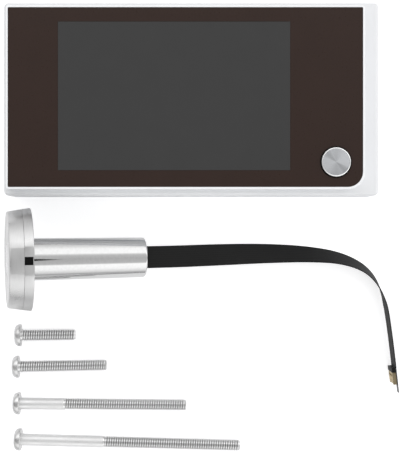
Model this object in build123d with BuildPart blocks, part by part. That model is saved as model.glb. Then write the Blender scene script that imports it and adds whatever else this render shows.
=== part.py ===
from build123d import *

import math
import os

# The kit lies on a table as in the photograph: +X to the right, +Y up the picture, +Z towards the viewer.
# The origin is the centre of the monitor's back face. Lengths are in millimetres, angles in degrees.

# Monitor case
case_length = 124.4
case_height = 64.0
case_depth = 14.0
case_wall = 1.8
case_corner = 1.5
shoulder_edge = 1.1
shoulder_thickness = 1.6
back_wall = 1.6
back_edge = 0.8
parting_height = 5.0
parting_gap = 0.15
overrun = 1.0
slide_gap = 0.2
fit_gap = 0.15

# Front panel, its white border and the display window
shoulder_left = 1.62
shoulder_right = 5.4
shoulder_side = 1.95
panel_thickness = 1.4
panel_sink = 0.2
panel_corner = 0.3
panel_large_corner = 5.0
least_corner = 0.3
panel_gap = 0.05
bezel_border = 0.7
bezel_top = 18.6
bezel_edge = 0.3
bezel_ledge = 1.6
bezel_skirt = 1.5
shoulder_ledge = 1.6
window_left = 16.33
window_right = 23.73
window_above = 4.65
window_below = 5.45

# Display behind the window
display_margin = 1.6
display_glass = 1.5
backlight_thickness = 1.0
frame_wall = 0.4
layer_gap = 0.1

# Button in the panel's lower right corner
button_inset_x = 8.83
button_inset_y = 8.15
button_diameter = 9.7
button_ring_gap = 0.3
button_rise = 0.9
button_chamfer = 0.45
button_travel = 0.8
button_flange_width = 1.1
button_flange_thickness = 0.8
button_dish = 0.12
stem_radius = 1.2
switch_height = 0.7
switch_side = 6.0
board_thickness = 0.8
button_board_length = 9.6
button_board_height = 10.0

# Battery compartment for three small cells, with its sliding cover
cell_diameter = 10.5
cell_length = 44.5
cell_count = 3
cell_pitch = 11.2
cell_nub_radius = 1.9
cell_nub_height = 0.8
cell_edge = 0.5
cell_lift = 0.3
tray_inset_x = 2.5
tray_inset_y = 3.0
tray_wall = 1.2
tray_roof = 1.0
tray_slack = 0.6
tray_end_room = 2.9
tray_clearance = 0.2
tray_lug_shift = 4.2
tray_lug_length = 7.0
tray_lug_thickness = 1.2
tray_lug_gap = 0.3
contact_thickness = 0.35
contact_width = 8.0
contact_height = 8.6
spring_width = 5.0
cover_lap = 0.4
cover_margin = 1.65
cover_thickness = 1.35
cover_sink = 0.1
cover_travel = 6.0
tongue_length = 6.0
tongue_reach = 1.3
tongue_thickness = 0.9
tongue_riser = 1.0
tongue_first_shift = -9.8
tongue_second_shift = 12.2
grip_count = 5
grip_pitch = 2.0
grip_width = 0.9
grip_depth = 0.4
grip_length = 16.0
grip_inset = 5.0

# Wall bracket and the pocket that holds it
bracket_inset = 30.0
bracket_width = 40.0
bracket_height = 34.0
bracket_pad_width = 26.0
bracket_thickness = 1.2
bracket_joggle = 0.8
bracket_stand_off = 0.1
bracket_travel = 9.0
ear_length = 8.0
ear_offset = 12.0
rail_thickness = 0.7
rail_reach = 2.2
pocket_side_gap = 0.6
pocket_deep = 4.4
pocket_floor = 1.4
pocket_wall = 1.2
bracket_corner = 2.0
screw_spacing = 9.0
bracket_hole_radius = 2.2
ribbon_slot_length = 9.5
ribbon_slot_height = 2.6

# Circuit boards and what is on them
main_board_inset = 8.0
main_board_gap = 1.0
main_board_z = 7.0
main_board_thickness = 1.2
main_board_corner = 1.5
post_inset = 3.0
post_radius = 2.2
processor_side = 14.0
processor_height = 1.4
memory_length = 10.0
memory_width = 8.0
memory_height = 1.1
coil_side = 6.0
coil_height = 2.6
chip_edge = 0.2
memory_place_shares = (-0.4, 0.15)
coil_place_shares = (0.3, -0.29)
socket_length = 11.0
socket_width = 4.6
socket_sink = 0.3

# Screws that close the case from behind
boss_overlap = 0.3
boss_gap = 0.3
case_screw_head_radius = 2.3
case_screw_head_height = 1.4
case_screw_radius = 1.1
case_screw_length = 8.0
case_screw_sink = 0.5
case_boss_radius = 2.9
case_screw_gap = 0.05

# Outdoor camera: a round head with a long barrel
head_radius = 16.9
head_taper = 1.1
head_length = 7.7
cap_length = 4.7
cap_front_wall = 1.4
cap_skirt = 1.6
cap_front_edge = 0.35
cap_joint_gap = 0.06
head_edge = 0.35
barrel_radius = 7.0
barrel_length = 38.0
spigot_radius = 6.5
barrel_end_edge = 0.8
bore_radius = 5.6
end_block_length = 12.0
hub_radius = 9.0
flat_width = 8.0
flat_start = 0.5
flat_extra = 0.1
key_width = 2.6
key_depth = 2.6
key_sink = 0.25
key_inset = 0.4
lens_window_radius = 5.2
lens_window_thickness = 1.1
lens_window_sink = 0.3
lens_seat = 0.8
lens_barrel_radius = 5.4
lens_front_radius = 4.2
lens_barrel_length = 11.0
lens_glass_radius = 3.2
lens_glass_depth = 2.6
lens_dome = 0.9
lens_dome_share = 0.55
sensor_board_thickness = 0.9
sensor_side = 4.6
sensor_height = 0.7
thread_hole_radius = 1.73
thread_hole_depth = 10.0
camera_x = -60.25
camera_y = -53.14
camera_turn = 0.65

# Flat ribbon cable and the connector on its end
ribbon_width = 7.5
ribbon_thickness = 0.4
ribbon_gap = 0.15
ribbon_lead = 10.0
ribbon_twist_length = 91.0
ribbon_twist_power = 1.4
ribbon_quarter_turn = 90.0
ribbon_sections = 46
ribbon_arc_share = 0.45
ribbon_bend_points = [
    (8.9, -51.9, 3.5),
    (24.9, -51.4, 3.4),
    (39.9, -51.6, 3.5),
    (51.9, -53.0, 3.7),
    (60.9, -57.3, 3.9),
    (65.7, -65.2, 3.9),
    (67.8, -77.6, 3.9),
    (69.2, -90.0, 3.9),
]
plug_length = 8.6
plug_board_thickness = 0.3
plug_board_height = 7.1
plug_cap_length = 1.6
plug_cap_height = 7.2
plug_body_length = 4.2
plug_body_height = 6.4
plug_body_thickness = 1.7
plug_gap = 0.1
contact_count = 10
contact_strip_width = 0.3
contact_strip_thickness = 0.15
contact_margin = 0.5

# Loose machine screws, four lengths of one thread
screw_radius = 2.08
screw_head_radius = 3.8
screw_head_height = 2.4
screw_head_shares = [(0.0, 0.55), (0.18, 0.84), (0.45, 0.97)]
screw_tip = 0.4
recess_length = 4.0
recess_width = 0.9
recess_depth = 1.4
screw_table = [
    ("screw_18mm", 18.5, -60.6, -79.4, 0.0),
    ("screw_30mm", 30.0, -61.4, -90.2, 0.7),
    ("screw_57mm", 57.0, -61.1, -102.7, -0.8),
    ("screw_75mm", 75.0, -60.7, -115.0, -1.8),
]

# Heights and places that follow from the sizes above
panel_length = case_length - shoulder_left - shoulder_right - 2 * bezel_border
panel_height = case_height - 2 * (shoulder_side + bezel_border)
panel_shift_x = (shoulder_left - shoulder_right) / 2
panel_right = panel_shift_x + panel_length / 2
window_length = panel_length - window_left - window_right
window_height = panel_height - window_above - window_below
window_shift_x = panel_shift_x + (window_left - window_right) / 2
window_shift_y = (window_below - window_above) / 2
button_x = panel_right - button_inset_x
button_y = button_inset_y - panel_height / 2
panel_top = bezel_top - panel_sink
panel_bottom = panel_top - panel_thickness
glass_top = panel_bottom - layer_gap
glass_bottom = glass_top - display_glass
backlight_bottom = glass_bottom - backlight_thickness
frame_bottom = backlight_bottom - frame_wall
display_length = window_length + 2 * display_margin
display_height = window_height + 2 * display_margin
frame_length = display_length + 2 * (frame_wall + fit_gap)
frame_height = display_height + 2 * (frame_wall + fit_gap)
button_top = panel_top + button_rise
button_flange_top = panel_bottom - layer_gap
button_flange_bottom = button_flange_top - button_flange_thickness
cell_bottom = back_wall + cell_lift
cell_top = cell_bottom + cell_diameter
tray_bottom = back_wall + tray_clearance
tray_top = cell_top + tray_clearance + tray_roof
tray_inner_length = cell_count * cell_pitch + tray_slack
tray_inner_height = cell_length + 2 * tray_end_room
tray_length = tray_inner_length + 2 * tray_wall
tray_height = tray_inner_height + 2 * tray_wall
tray_x = panel_right - tray_inset_x - tray_length / 2
tray_y = tray_inset_y + tray_height / 2 - panel_height / 2
tray_left = tray_x - tray_length / 2
tray_lug_x = tray_x + tray_lug_shift
cover_left = tray_x - tray_inner_length / 2 + cover_lap
cover_half_height = tray_height / 2 + cover_margin
tongue_first_x = tray_x + tongue_first_shift
tongue_second_x = tray_x + tongue_second_shift
button_board_top = tray_top + board_thickness
switch_top = button_board_top + switch_height
pocket_width = bracket_width + 2 * pocket_side_gap
pocket_height = bracket_height + bracket_travel + 2 * pocket_side_gap
bracket_x = bracket_inset - case_length / 2
bracket_y = bracket_travel / 2
ear_bottom = bracket_stand_off + bracket_joggle
pocket_shallow = ear_bottom + bracket_thickness + slide_gap
channel_width = bracket_pad_width + 2 * pocket_side_gap
main_board_left = main_board_inset - case_length / 2
main_board_right = tray_left - main_board_gap
main_board_height = case_height - 2 * main_board_inset
barrel_end = head_length + barrel_length
head_front_radius = head_radius - head_taper
head_flare = head_taper / (head_length - head_edge)
case_screw_end = case_screw_sink + case_screw_head_height + case_screw_length
tray_lug_end = case_height / 2 - case_wall - tray_lug_gap
case_screw_left_x = case_wall + case_boss_radius - boss_overlap - case_length / 2
case_screw_right_x = tray_left - boss_gap - case_boss_radius
case_screw_y = case_height / 2 - case_wall - case_boss_radius + boss_overlap
boss_places = [
    (x, y)
    for x in (case_screw_left_x, case_screw_right_x)
    for y in (-case_screw_y, case_screw_y)
]


def lying_frame(x, y, turn, wide_at, wide_radius, thin_at, thin_radius):
    """Returns the section plane of a turned piece that lies on its wide rim and on its thin end.

    Its first direction runs down the piece's axis, and its second one is the upward radius.
    """
    tilt = math.atan((wide_radius - thin_radius) / (thin_at - wide_at))
    height = wide_radius * math.cos(tilt) + wide_at * math.sin(tilt)
    heading = math.radians(turn)
    along = Vector(
        math.cos(tilt) * math.cos(heading),
        math.cos(tilt) * math.sin(heading),
        -math.sin(tilt),
    )
    radial = Vector(
        math.sin(tilt) * math.cos(heading),
        math.sin(tilt) * math.sin(heading),
        math.cos(tilt),
    )
    return Plane(origin=(x, y, height), x_dir=along, z_dir=along.cross(radial))


def cross_plane(section, distance):
    """Returns the plane square to a lying piece's axis, with its first direction up."""
    origin = section.origin + section.x_dir * distance
    return Plane(origin=origin, x_dir=section.y_dir, z_dir=section.x_dir)


def head_cone(distance):
    """Returns the camera head's radius at a distance behind its front face."""
    return head_front_radius + head_flare * distance


def panel_outline(inset):
    """Draws the front panel's outline, drawn in by an inset, with its one large corner."""
    with Locations((panel_shift_x, 0)):
        Rectangle(panel_length - 2 * inset, panel_height - 2 * inset)
    small = max(panel_corner - inset, least_corner)
    fillet(vertices().group_by(Axis.X)[-1].sort_by(Axis.Y)[0], panel_large_corner - inset)
    fillet(vertices().group_by(Axis.X)[0], small)
    fillet(vertices().group_by(Axis.Y)[-1].sort_by(Axis.X)[-1], small)


def finish(piece, name):
    """Names a finished piece and writes it to its own file."""
    piece.part.label = name
    export_step(piece.part, "parts/" + name + ".step")


os.makedirs("parts", exist_ok=True)

# Rear cover: a shallow tray with the bracket's pocket, the battery opening, board posts and screw posts
with BuildPart() as rear_cover:
    with BuildSketch(Plane.XY):
        RectangleRounded(case_length, case_height, case_corner)
    extrude(amount=parting_height - parting_gap)
    chamfer(faces().sort_by(Axis.Z)[0].edges(), back_edge)
    with BuildSketch(Plane.XY.offset(back_wall)):
        RectangleRounded(
            case_length - 2 * case_wall, case_height - 2 * case_wall, case_corner
        )
    extrude(amount=parting_height, mode=Mode.SUBTRACT)
    with BuildSketch(Plane.XY.offset(back_wall)):
        with Locations(*boss_places):
            Circle(case_boss_radius)
    extrude(amount=parting_height - parting_gap - back_wall)
    with BuildSketch(Plane.XY.offset(back_wall)):
        for board_x in (main_board_left + post_inset, main_board_right - post_inset):
            for side in (-1, 1):
                with Locations((board_x, side * (main_board_height / 2 - post_inset))):
                    Circle(post_radius)
    extrude(amount=main_board_z - back_wall)
    with BuildSketch(Plane.XY.offset(back_wall)):
        with Locations((bracket_x, 0)):
            Rectangle(pocket_width + 2 * pocket_wall, pocket_height + 2 * pocket_wall)
    extrude(amount=pocket_deep + pocket_floor - back_wall)
    with BuildSketch(Plane.XY):
        with Locations((bracket_x, 0)):
            Rectangle(channel_width, pocket_height)
    extrude(amount=pocket_deep, mode=Mode.SUBTRACT)
    with BuildSketch(Plane.XY):
        with Locations((bracket_x, 0)):
            Rectangle(pocket_width, pocket_height)
    extrude(amount=pocket_shallow, mode=Mode.SUBTRACT)
    with BuildSketch(Plane.XY):
        for side in (-1, 1):
            rail_x = bracket_x + side * (pocket_width - rail_reach) / 2
            with Locations(
                (rail_x, bracket_y + ear_offset), (rail_x, bracket_y - ear_offset)
            ):
                Rectangle(rail_reach, ear_length)
    extrude(amount=rail_thickness)
    with BuildSketch(Plane.XY.offset(pocket_deep)):
        with Locations((bracket_x, bracket_y)):
            Rectangle(socket_length + 2 * slide_gap, socket_width + 2 * slide_gap)
    extrude(amount=pocket_floor, mode=Mode.SUBTRACT)
    cover_end = case_length / 2 + overrun
    with BuildSketch(Plane.XY):
        with Locations(((cover_left + cover_end) / 2, tray_y)):
            Rectangle(cover_end - cover_left, 2 * (cover_half_height + slide_gap))
        for notch_x in (tongue_first_x, tongue_second_x):
            with Locations((notch_x + cover_travel, tray_y)):
                Rectangle(
                    tongue_length + 2 * slide_gap,
                    2 * (cover_half_height + tongue_reach + slide_gap),
                )
    extrude(amount=back_wall, mode=Mode.SUBTRACT)
    for boss_x, boss_y in boss_places:
        with BuildSketch(Plane.XY):
            with Locations((boss_x, boss_y)):
                Circle(case_screw_radius + slide_gap)
        extrude(amount=parting_height, mode=Mode.SUBTRACT)
        with BuildSketch(Plane.XY):
            with Locations((boss_x, boss_y)):
                Circle(case_screw_head_radius + slide_gap)
        extrude(amount=case_screw_sink + case_screw_head_height, mode=Mode.SUBTRACT)
finish(rear_cover, "rear_cover")

# Front case: the side walls and the wide shoulder round the bezel
with BuildPart() as front_case:
    with BuildSketch(Plane.XY.offset(parting_height)):
        RectangleRounded(case_length, case_height, case_corner)
    extrude(amount=case_depth - parting_height)
    fillet(faces().sort_by(Axis.Z)[-1].edges(), shoulder_edge)
    with BuildSketch(Plane.XY.offset(parting_height)):
        RectangleRounded(
            case_length - 2 * case_wall, case_height - 2 * case_wall, case_corner
        )
    extrude(
        amount=case_depth - shoulder_thickness - parting_height, mode=Mode.SUBTRACT
    )
    with BuildSketch(Plane.XY.offset(parting_height)):
        panel_outline(shoulder_ledge - bezel_border)
    extrude(amount=case_depth, mode=Mode.SUBTRACT)
    with BuildSketch(Plane.XY.offset(parting_height)):
        with Locations(*boss_places):
            Circle(case_boss_radius)
    extrude(amount=case_depth - shoulder_thickness - parting_height)
    with BuildSketch(Plane.XY.offset(parting_height)):
        with Locations(*boss_places):
            Circle(case_screw_radius + case_screw_gap)
    extrude(amount=case_screw_end + slide_gap - parting_height, mode=Mode.SUBTRACT)
finish(front_case, "front_case")

# Bezel: the raised white border, with a ledge under the panel and a skirt inside the shoulder
with BuildPart() as bezel:
    with BuildSketch(Plane.XY.offset(case_depth)):
        panel_outline(-bezel_border)
    extrude(amount=bezel_top - case_depth)
    fillet(faces().sort_by(Axis.Z)[-1].edges(), bezel_edge)
    with BuildSketch(Plane.XY.offset(case_depth - bezel_skirt)):
        panel_outline(shoulder_ledge - bezel_border + fit_gap)
    extrude(amount=bezel_skirt)
    with BuildSketch(Plane.XY.offset(case_depth - bezel_skirt)):
        panel_outline(bezel_ledge)
    extrude(amount=bezel_top, mode=Mode.SUBTRACT)
    with BuildSketch(Plane.XY.offset(panel_bottom)):
        panel_outline(0)
    extrude(amount=bezel_top, mode=Mode.SUBTRACT)
finish(bezel, "bezel")

# Front panel: the printed acrylic plate with its window and the button's round hole
with BuildPart() as front_panel:
    with BuildSketch(Plane.XY.offset(panel_bottom)):
        panel_outline(panel_gap)
        with Locations((window_shift_x, window_shift_y)):
            Rectangle(window_length, window_height, mode=Mode.SUBTRACT)
        with Locations((button_x, button_y)):
            Circle(button_diameter / 2 + button_ring_gap, mode=Mode.SUBTRACT)
    extrude(amount=panel_thickness)
finish(front_panel, "front_panel")

# Screen window: the clear part of the panel over the display
with BuildPart() as screen_window:
    with BuildSketch(Plane.XY.offset(panel_bottom)):
        with Locations((window_shift_x, window_shift_y)):
            Rectangle(window_length - 2 * panel_gap, window_height - 2 * panel_gap)
    extrude(amount=panel_thickness)
finish(screen_window, "screen_window")

# Display glass, its backlight and the thin metal frame that holds both
with BuildPart() as display_panel:
    with BuildSketch(Plane.XY.offset(glass_bottom)):
        with Locations((window_shift_x, window_shift_y)):
            Rectangle(display_length, display_height)
    extrude(amount=display_glass)
finish(display_panel, "display_panel")

with BuildPart() as backlight:
    with BuildSketch(Plane.XY.offset(backlight_bottom)):
        with Locations((window_shift_x, window_shift_y)):
            Rectangle(display_length, display_height)
    extrude(amount=backlight_thickness)
finish(backlight, "backlight")

with BuildPart() as display_frame:
    with BuildSketch(Plane.XY.offset(frame_bottom)):
        with Locations((window_shift_x, window_shift_y)):
            Rectangle(frame_length, frame_height)
    extrude(amount=glass_top - frame_wall - frame_bottom)
    with BuildSketch(Plane.XY.offset(backlight_bottom)):
        with Locations((window_shift_x, window_shift_y)):
            Rectangle(display_length + 2 * fit_gap, display_height + 2 * fit_gap)
    extrude(amount=bezel_top, mode=Mode.SUBTRACT)
finish(display_frame, "display_frame")

# Button: a turned cap with a shallow dish, a flange that keeps it in and a stem over the switch
with BuildPart() as view_button:
    with BuildSketch(Plane.XY.offset(button_flange_bottom)):
        with Locations((button_x, button_y)):
            Circle(button_diameter / 2)
    extrude(amount=button_top - button_flange_bottom)
    chamfer(faces().sort_by(Axis.Z)[-1].edges(), button_chamfer)
    with BuildSketch(Plane.XY.offset(button_top - button_dish)):
        with Locations((button_x, button_y)):
            Circle(button_diameter / 2 - 2 * button_chamfer)
    extrude(amount=button_dish, mode=Mode.SUBTRACT)
    with BuildSketch(Plane.XY.offset(button_flange_bottom)):
        with Locations((button_x, button_y)):
            Circle(button_diameter / 2 + button_flange_width)
    extrude(amount=button_flange_thickness)
    with BuildSketch(Plane.XY.offset(button_board_top + button_travel + panel_gap)):
        with Locations((button_x, button_y)):
            Circle(stem_radius)
    extrude(until=Until.NEXT)
finish(view_button, "view_button")

with BuildPart() as button_board:
    with BuildSketch(Plane.XY.offset(tray_top)):
        with Locations((button_x, button_y)):
            Rectangle(button_board_length, button_board_height)
    extrude(amount=board_thickness)
finish(button_board, "button_board")

with BuildPart() as button_switch:
    with BuildSketch(Plane.XY.offset(button_board_top)):
        with Locations((button_x, button_y)):
            Rectangle(switch_side, switch_side)
            Circle(stem_radius + slide_gap, mode=Mode.SUBTRACT)
    extrude(amount=switch_height)
finish(button_switch, "button_switch")

# Battery tray, open towards the back, with a lug above and below that rests on the rear cover
with BuildPart() as battery_tray:
    with BuildSketch(Plane.XY.offset(tray_bottom)):
        with Locations((tray_x, tray_y)):
            Rectangle(tray_length, tray_height)
    extrude(amount=tray_top - tray_bottom)
    with BuildSketch(Plane.XY.offset(tray_bottom)):
        with Locations((tray_lug_x, 0)):
            Rectangle(tray_lug_length, 2 * tray_lug_end)
    extrude(amount=tray_lug_thickness)
    with BuildSketch(Plane.XY.offset(tray_bottom)):
        with Locations((tray_x, tray_y)):
            Rectangle(tray_inner_length, tray_inner_height)
    extrude(amount=tray_top - tray_roof - tray_bottom, mode=Mode.SUBTRACT)
finish(battery_tray, "battery_tray")

# Three cells side by side, the middle one the other way round
cell_places = [
    (tray_x + (index - (cell_count - 1) / 2) * cell_pitch, 1 - 2 * (index % 2))
    for index in range(cell_count)
]
cell_axis_height = cell_bottom + cell_diameter / 2
with BuildPart() as battery_cells:
    for cell_x, facing in cell_places:
        shell_base = Plane(
            origin=(cell_x, tray_y - facing * cell_length / 2, cell_axis_height),
            x_dir=(1, 0, 0),
            z_dir=(0, facing, 0),
        )
        with BuildSketch(shell_base):
            Circle(cell_diameter / 2)
        extrude(amount=cell_length - cell_nub_height)
        with BuildSketch(shell_base.offset(cell_length - cell_nub_height)):
            Circle(cell_nub_radius)
        extrude(amount=cell_nub_height)
    chamfer(
        edges().filter_by(GeomType.CIRCLE).group_by(SortBy.RADIUS)[-1], cell_edge
    )
finish(battery_cells, "battery_cells")

# Flat contacts at the cells' raised ends and bent springs at their flat ends
with BuildPart() as battery_contacts:
    for cell_x, facing in cell_places:
        wall_y = tray_y + facing * tray_inner_height / 2
        plate = Plane(
            origin=(cell_x, wall_y, cell_axis_height), x_dir=(1, 0, 0), z_dir=(0, -facing, 0)
        )
        with BuildSketch(plate):
            Rectangle(contact_width, contact_height)
        extrude(amount=contact_thickness)
finish(battery_contacts, "battery_contacts")

spring_depth = tray_end_room - fit_gap
with BuildPart() as battery_springs:
    for cell_x, facing in cell_places:
        wall_y = tray_y - facing * tray_inner_height / 2
        side_view = Plane(
            origin=(cell_x - spring_width / 2, wall_y, cell_axis_height),
            x_dir=(0, facing, 0),
            z_dir=(1, 0, 0),
        )
        with BuildSketch(side_view):
            with BuildLine():
                Polyline(
                    (0, -contact_height / 2),
                    (0, contact_height / 2),
                    (contact_thickness, contact_height / 2),
                    (spring_depth, contact_thickness),
                    (spring_depth, -contact_thickness),
                    (contact_thickness, -contact_height / 2),
                    close=True,
                )
            make_face()
            with BuildLine():
                Polyline(
                    (contact_thickness, -contact_height / 2 + 2 * contact_thickness),
                    (contact_thickness, contact_height / 2 - 2 * contact_thickness),
                    (spring_depth - contact_thickness, 0),
                    close=True,
                )
            make_face(mode=Mode.SUBTRACT)
        extrude(amount=spring_width)
finish(battery_springs, "battery_springs")

# Battery cover: slides to the right, with four tongues that pass through notches in the back wall
with BuildPart() as battery_cover:
    cover_left_edge = cover_left + slide_gap
    cover_length = case_length / 2 - cover_left_edge
    cover_middle = cover_left_edge + cover_length / 2
    with BuildSketch(Plane.XY.offset(cover_sink)):
        with Locations((cover_middle, tray_y)):
            Rectangle(cover_length, 2 * cover_half_height)
    extrude(amount=cover_thickness)
    chamfer(
        faces().sort_by(Axis.Z)[0].edges().filter_by(Axis.Y).sort_by(Axis.X)[-1],
        cover_thickness / 2,
    )
    for tongue_x in (tongue_first_x, tongue_second_x):
        for side in (-1, 1):
            riser_y = tray_y + side * (cover_half_height - tongue_riser / 2)
            with BuildSketch(Plane.XY.offset(cover_sink + cover_thickness)):
                with Locations((tongue_x, riser_y)):
                    Rectangle(tongue_length, tongue_riser)
            extrude(
                amount=back_wall + slide_gap + tongue_thickness
                - cover_sink - cover_thickness
            )
            reach_y = tray_y + side * (
                cover_half_height + (tongue_reach - tongue_riser) / 2
            )
            with BuildSketch(Plane.XY.offset(back_wall + slide_gap)):
                with Locations((tongue_x, reach_y)):
                    Rectangle(tongue_length, tongue_reach + tongue_riser)
            extrude(amount=tongue_thickness)
    with BuildSketch(Plane.XY.offset(cover_sink)):
        for index in range(grip_count):
            grip_x = cover_left_edge + grip_inset + index * grip_pitch
            with Locations((grip_x, tray_y)):
                SlotOverall(grip_length, grip_width, rotation=90)
    extrude(amount=grip_depth, mode=Mode.SUBTRACT)
finish(battery_cover, "battery_cover")

# Wall bracket: joggled sheet with four ears, two screw holes and a slot for the ribbon
with BuildPart() as wall_bracket:
    half_width = bracket_width / 2
    half_pad = bracket_pad_width / 2
    half_step = half_pad - bracket_thickness
    pad_top = bracket_stand_off + bracket_thickness
    ear_top = ear_bottom + bracket_thickness
    profile_plane = Plane(
        origin=(bracket_x, bracket_y + bracket_height / 2, 0),
        x_dir=(1, 0, 0),
        z_dir=(0, -1, 0),
    )
    with BuildSketch(profile_plane):
        with BuildLine():
            Polyline(
                (-half_width, ear_bottom),
                (-half_pad, ear_bottom),
                (-half_pad, bracket_stand_off),
                (half_pad, bracket_stand_off),
                (half_pad, ear_bottom),
                (half_width, ear_bottom),
                (half_width, ear_top),
                (half_step, ear_top),
                (half_step, pad_top),
                (-half_step, pad_top),
                (-half_step, ear_top),
                (-half_width, ear_top),
                close=True,
            )
        make_face()
    extrude(amount=bracket_height)
    ear_strip = half_width - half_pad
    ear_middle = (half_width + half_pad) / 2
    inner_notch = 2 * ear_offset - ear_length
    outer_notch = bracket_height / 2 - ear_offset - ear_length / 2
    outer_middle = bracket_height / 2 - outer_notch / 2
    with BuildSketch(Plane.XY):
        for side in (-1, 1):
            with Locations((bracket_x + side * ear_middle, bracket_y)):
                Rectangle(ear_strip, inner_notch)
            with Locations(
                (bracket_x + side * ear_middle, bracket_y + outer_middle),
                (bracket_x + side * ear_middle, bracket_y - outer_middle),
            ):
                Rectangle(ear_strip, outer_notch)
            with Locations((bracket_x, bracket_y + side * screw_spacing / 2)):
                Circle(bracket_hole_radius)
        with Locations((bracket_x, bracket_y)):
            Rectangle(ribbon_slot_length, ribbon_slot_height)
    extrude(amount=bezel_top, mode=Mode.SUBTRACT)
finish(wall_bracket, "wall_bracket")

# Main board with its chips, and the socket that faces the bracket
main_board_length = main_board_right - main_board_left
main_board_x = (main_board_left + main_board_right) / 2
with BuildPart() as main_board:
    with BuildSketch(Plane.XY.offset(main_board_z)):
        with Locations((main_board_x, 0)):
            RectangleRounded(main_board_length, main_board_height, main_board_corner)
    extrude(amount=main_board_thickness)
finish(main_board, "main_board")

chip_base = main_board_z + main_board_thickness
with BuildPart() as board_chips:
    with BuildSketch(Plane.XY.offset(chip_base)):
        with Locations((main_board_x, 0)):
            Rectangle(processor_side, processor_side)
    extrude(amount=processor_height)
    with BuildSketch(Plane.XY.offset(chip_base)):
        memory_x = main_board_x + memory_place_shares[0] * main_board_length
        with Locations((memory_x, memory_place_shares[1] * main_board_height)):
            Rectangle(memory_length, memory_width)
    extrude(amount=memory_height)
    with BuildSketch(Plane.XY.offset(chip_base)):
        coil_x = main_board_x + coil_place_shares[0] * main_board_length
        with Locations((coil_x, coil_place_shares[1] * main_board_height)):
            Rectangle(coil_side, coil_side)
    extrude(amount=coil_height)
    chamfer(edges().filter_by(Axis.Z), chip_edge)
finish(board_chips, "board_chips")

with BuildPart() as ribbon_socket:
    with BuildSketch(Plane.XY.offset(pocket_deep + socket_sink)):
        with Locations((bracket_x, bracket_y)):
            Rectangle(socket_length, socket_width)
    extrude(amount=main_board_z - pocket_deep - socket_sink)
    with BuildSketch(Plane.XY.offset(pocket_deep + socket_sink)):
        with Locations((bracket_x, bracket_y)):
            Rectangle(ribbon_width + 2 * ribbon_gap, ribbon_thickness + 2 * ribbon_gap)
    extrude(amount=plug_body_thickness, mode=Mode.SUBTRACT)
finish(ribbon_socket, "ribbon_socket")

# Case screws, in their counterbores from behind
with BuildPart() as case_screws:
    for boss_x, boss_y in boss_places:
        with BuildSketch(Plane.XY.offset(case_screw_sink)):
            with Locations((boss_x, boss_y)):
                Circle(case_screw_head_radius)
        extrude(amount=case_screw_head_height)
        with BuildSketch(Plane.XY.offset(case_screw_sink)):
            with Locations((boss_x, boss_y)):
                Circle(case_screw_radius)
        extrude(amount=case_screw_head_height + case_screw_length)
finish(case_screws, "case_screws")

# Outdoor camera, lying on its head's rim and its barrel's end
camera_section = lying_frame(
    camera_x,
    camera_y,
    camera_turn,
    head_length - head_edge,
    head_radius,
    barrel_end - barrel_end_edge,
    barrel_radius,
)
camera_axis = Axis(camera_section.origin, camera_section.x_dir)
flat_depth = head_radius - math.sqrt(head_radius**2 - (flat_width / 2) ** 2)
hub_front = cap_front_wall + fit_gap

with BuildPart() as camera_body:
    with BuildSketch(camera_section):
        with BuildLine():
            Polyline(
                (hub_front, 0),
                (hub_front, spigot_radius),
                (head_length + panel_gap, spigot_radius),
                (head_length + panel_gap, barrel_radius),
                (barrel_end - barrel_end_edge, barrel_radius),
                (barrel_end, barrel_radius - barrel_end_edge),
                (barrel_end, 0),
                close=True,
            )
        make_face()
    revolve(axis=camera_axis)
    with BuildSketch(cross_plane(camera_section, hub_front)):
        Circle(bore_radius)
    extrude(amount=barrel_end - end_block_length - hub_front, mode=Mode.SUBTRACT)
    with BuildSketch(cross_plane(camera_section, barrel_end)):
        Rectangle(ribbon_thickness + 2 * ribbon_gap, ribbon_width + 2 * ribbon_gap)
    extrude(amount=-(end_block_length + overrun), mode=Mode.SUBTRACT)
    with BuildSketch(cross_plane(camera_section, barrel_end)):
        with Locations((screw_spacing / 2, 0), (-screw_spacing / 2, 0)):
            Circle(thread_hole_radius)
    extrude(amount=-thread_hole_depth, mode=Mode.SUBTRACT)
finish(camera_body, "camera_body")


def flat_outline(start, stop, depth):
    """Draws what the head's flat takes away, level with the cone and a depth below it."""
    Polyline(
        (start, head_cone(start) - depth),
        (stop, head_cone(stop) - depth),
        (stop, head_radius + overrun),
        (start, head_radius + overrun),
        close=True,
    )


# Rear ring of the head, with the hub that carries it on the barrel
with BuildPart() as camera_flange:
    with BuildSketch(camera_section):
        with BuildLine():
            Polyline(
                (hub_front, spigot_radius + panel_gap),
                (hub_front, hub_radius),
                (cap_length, hub_radius),
                (cap_length, head_cone(cap_length)),
                (head_length - head_edge, head_radius),
                (head_length, head_radius - head_edge),
                (head_length, spigot_radius + panel_gap),
                close=True,
            )
        make_face()
    revolve(axis=camera_axis)
    with BuildSketch(camera_section):
        with BuildLine():
            flat_outline(
                cap_length - overrun, head_length + overrun, flat_depth + flat_extra
            )
        make_face()
    extrude(amount=head_radius / 2, both=True, mode=Mode.SUBTRACT)
    with BuildSketch(cross_plane(camera_section, cap_length)):
        with Locations((head_radius - key_depth / 2, 0)):
            Rectangle(key_depth, key_width)
    extrude(amount=head_length, mode=Mode.SUBTRACT)
finish(camera_flange, "camera_flange")

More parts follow.
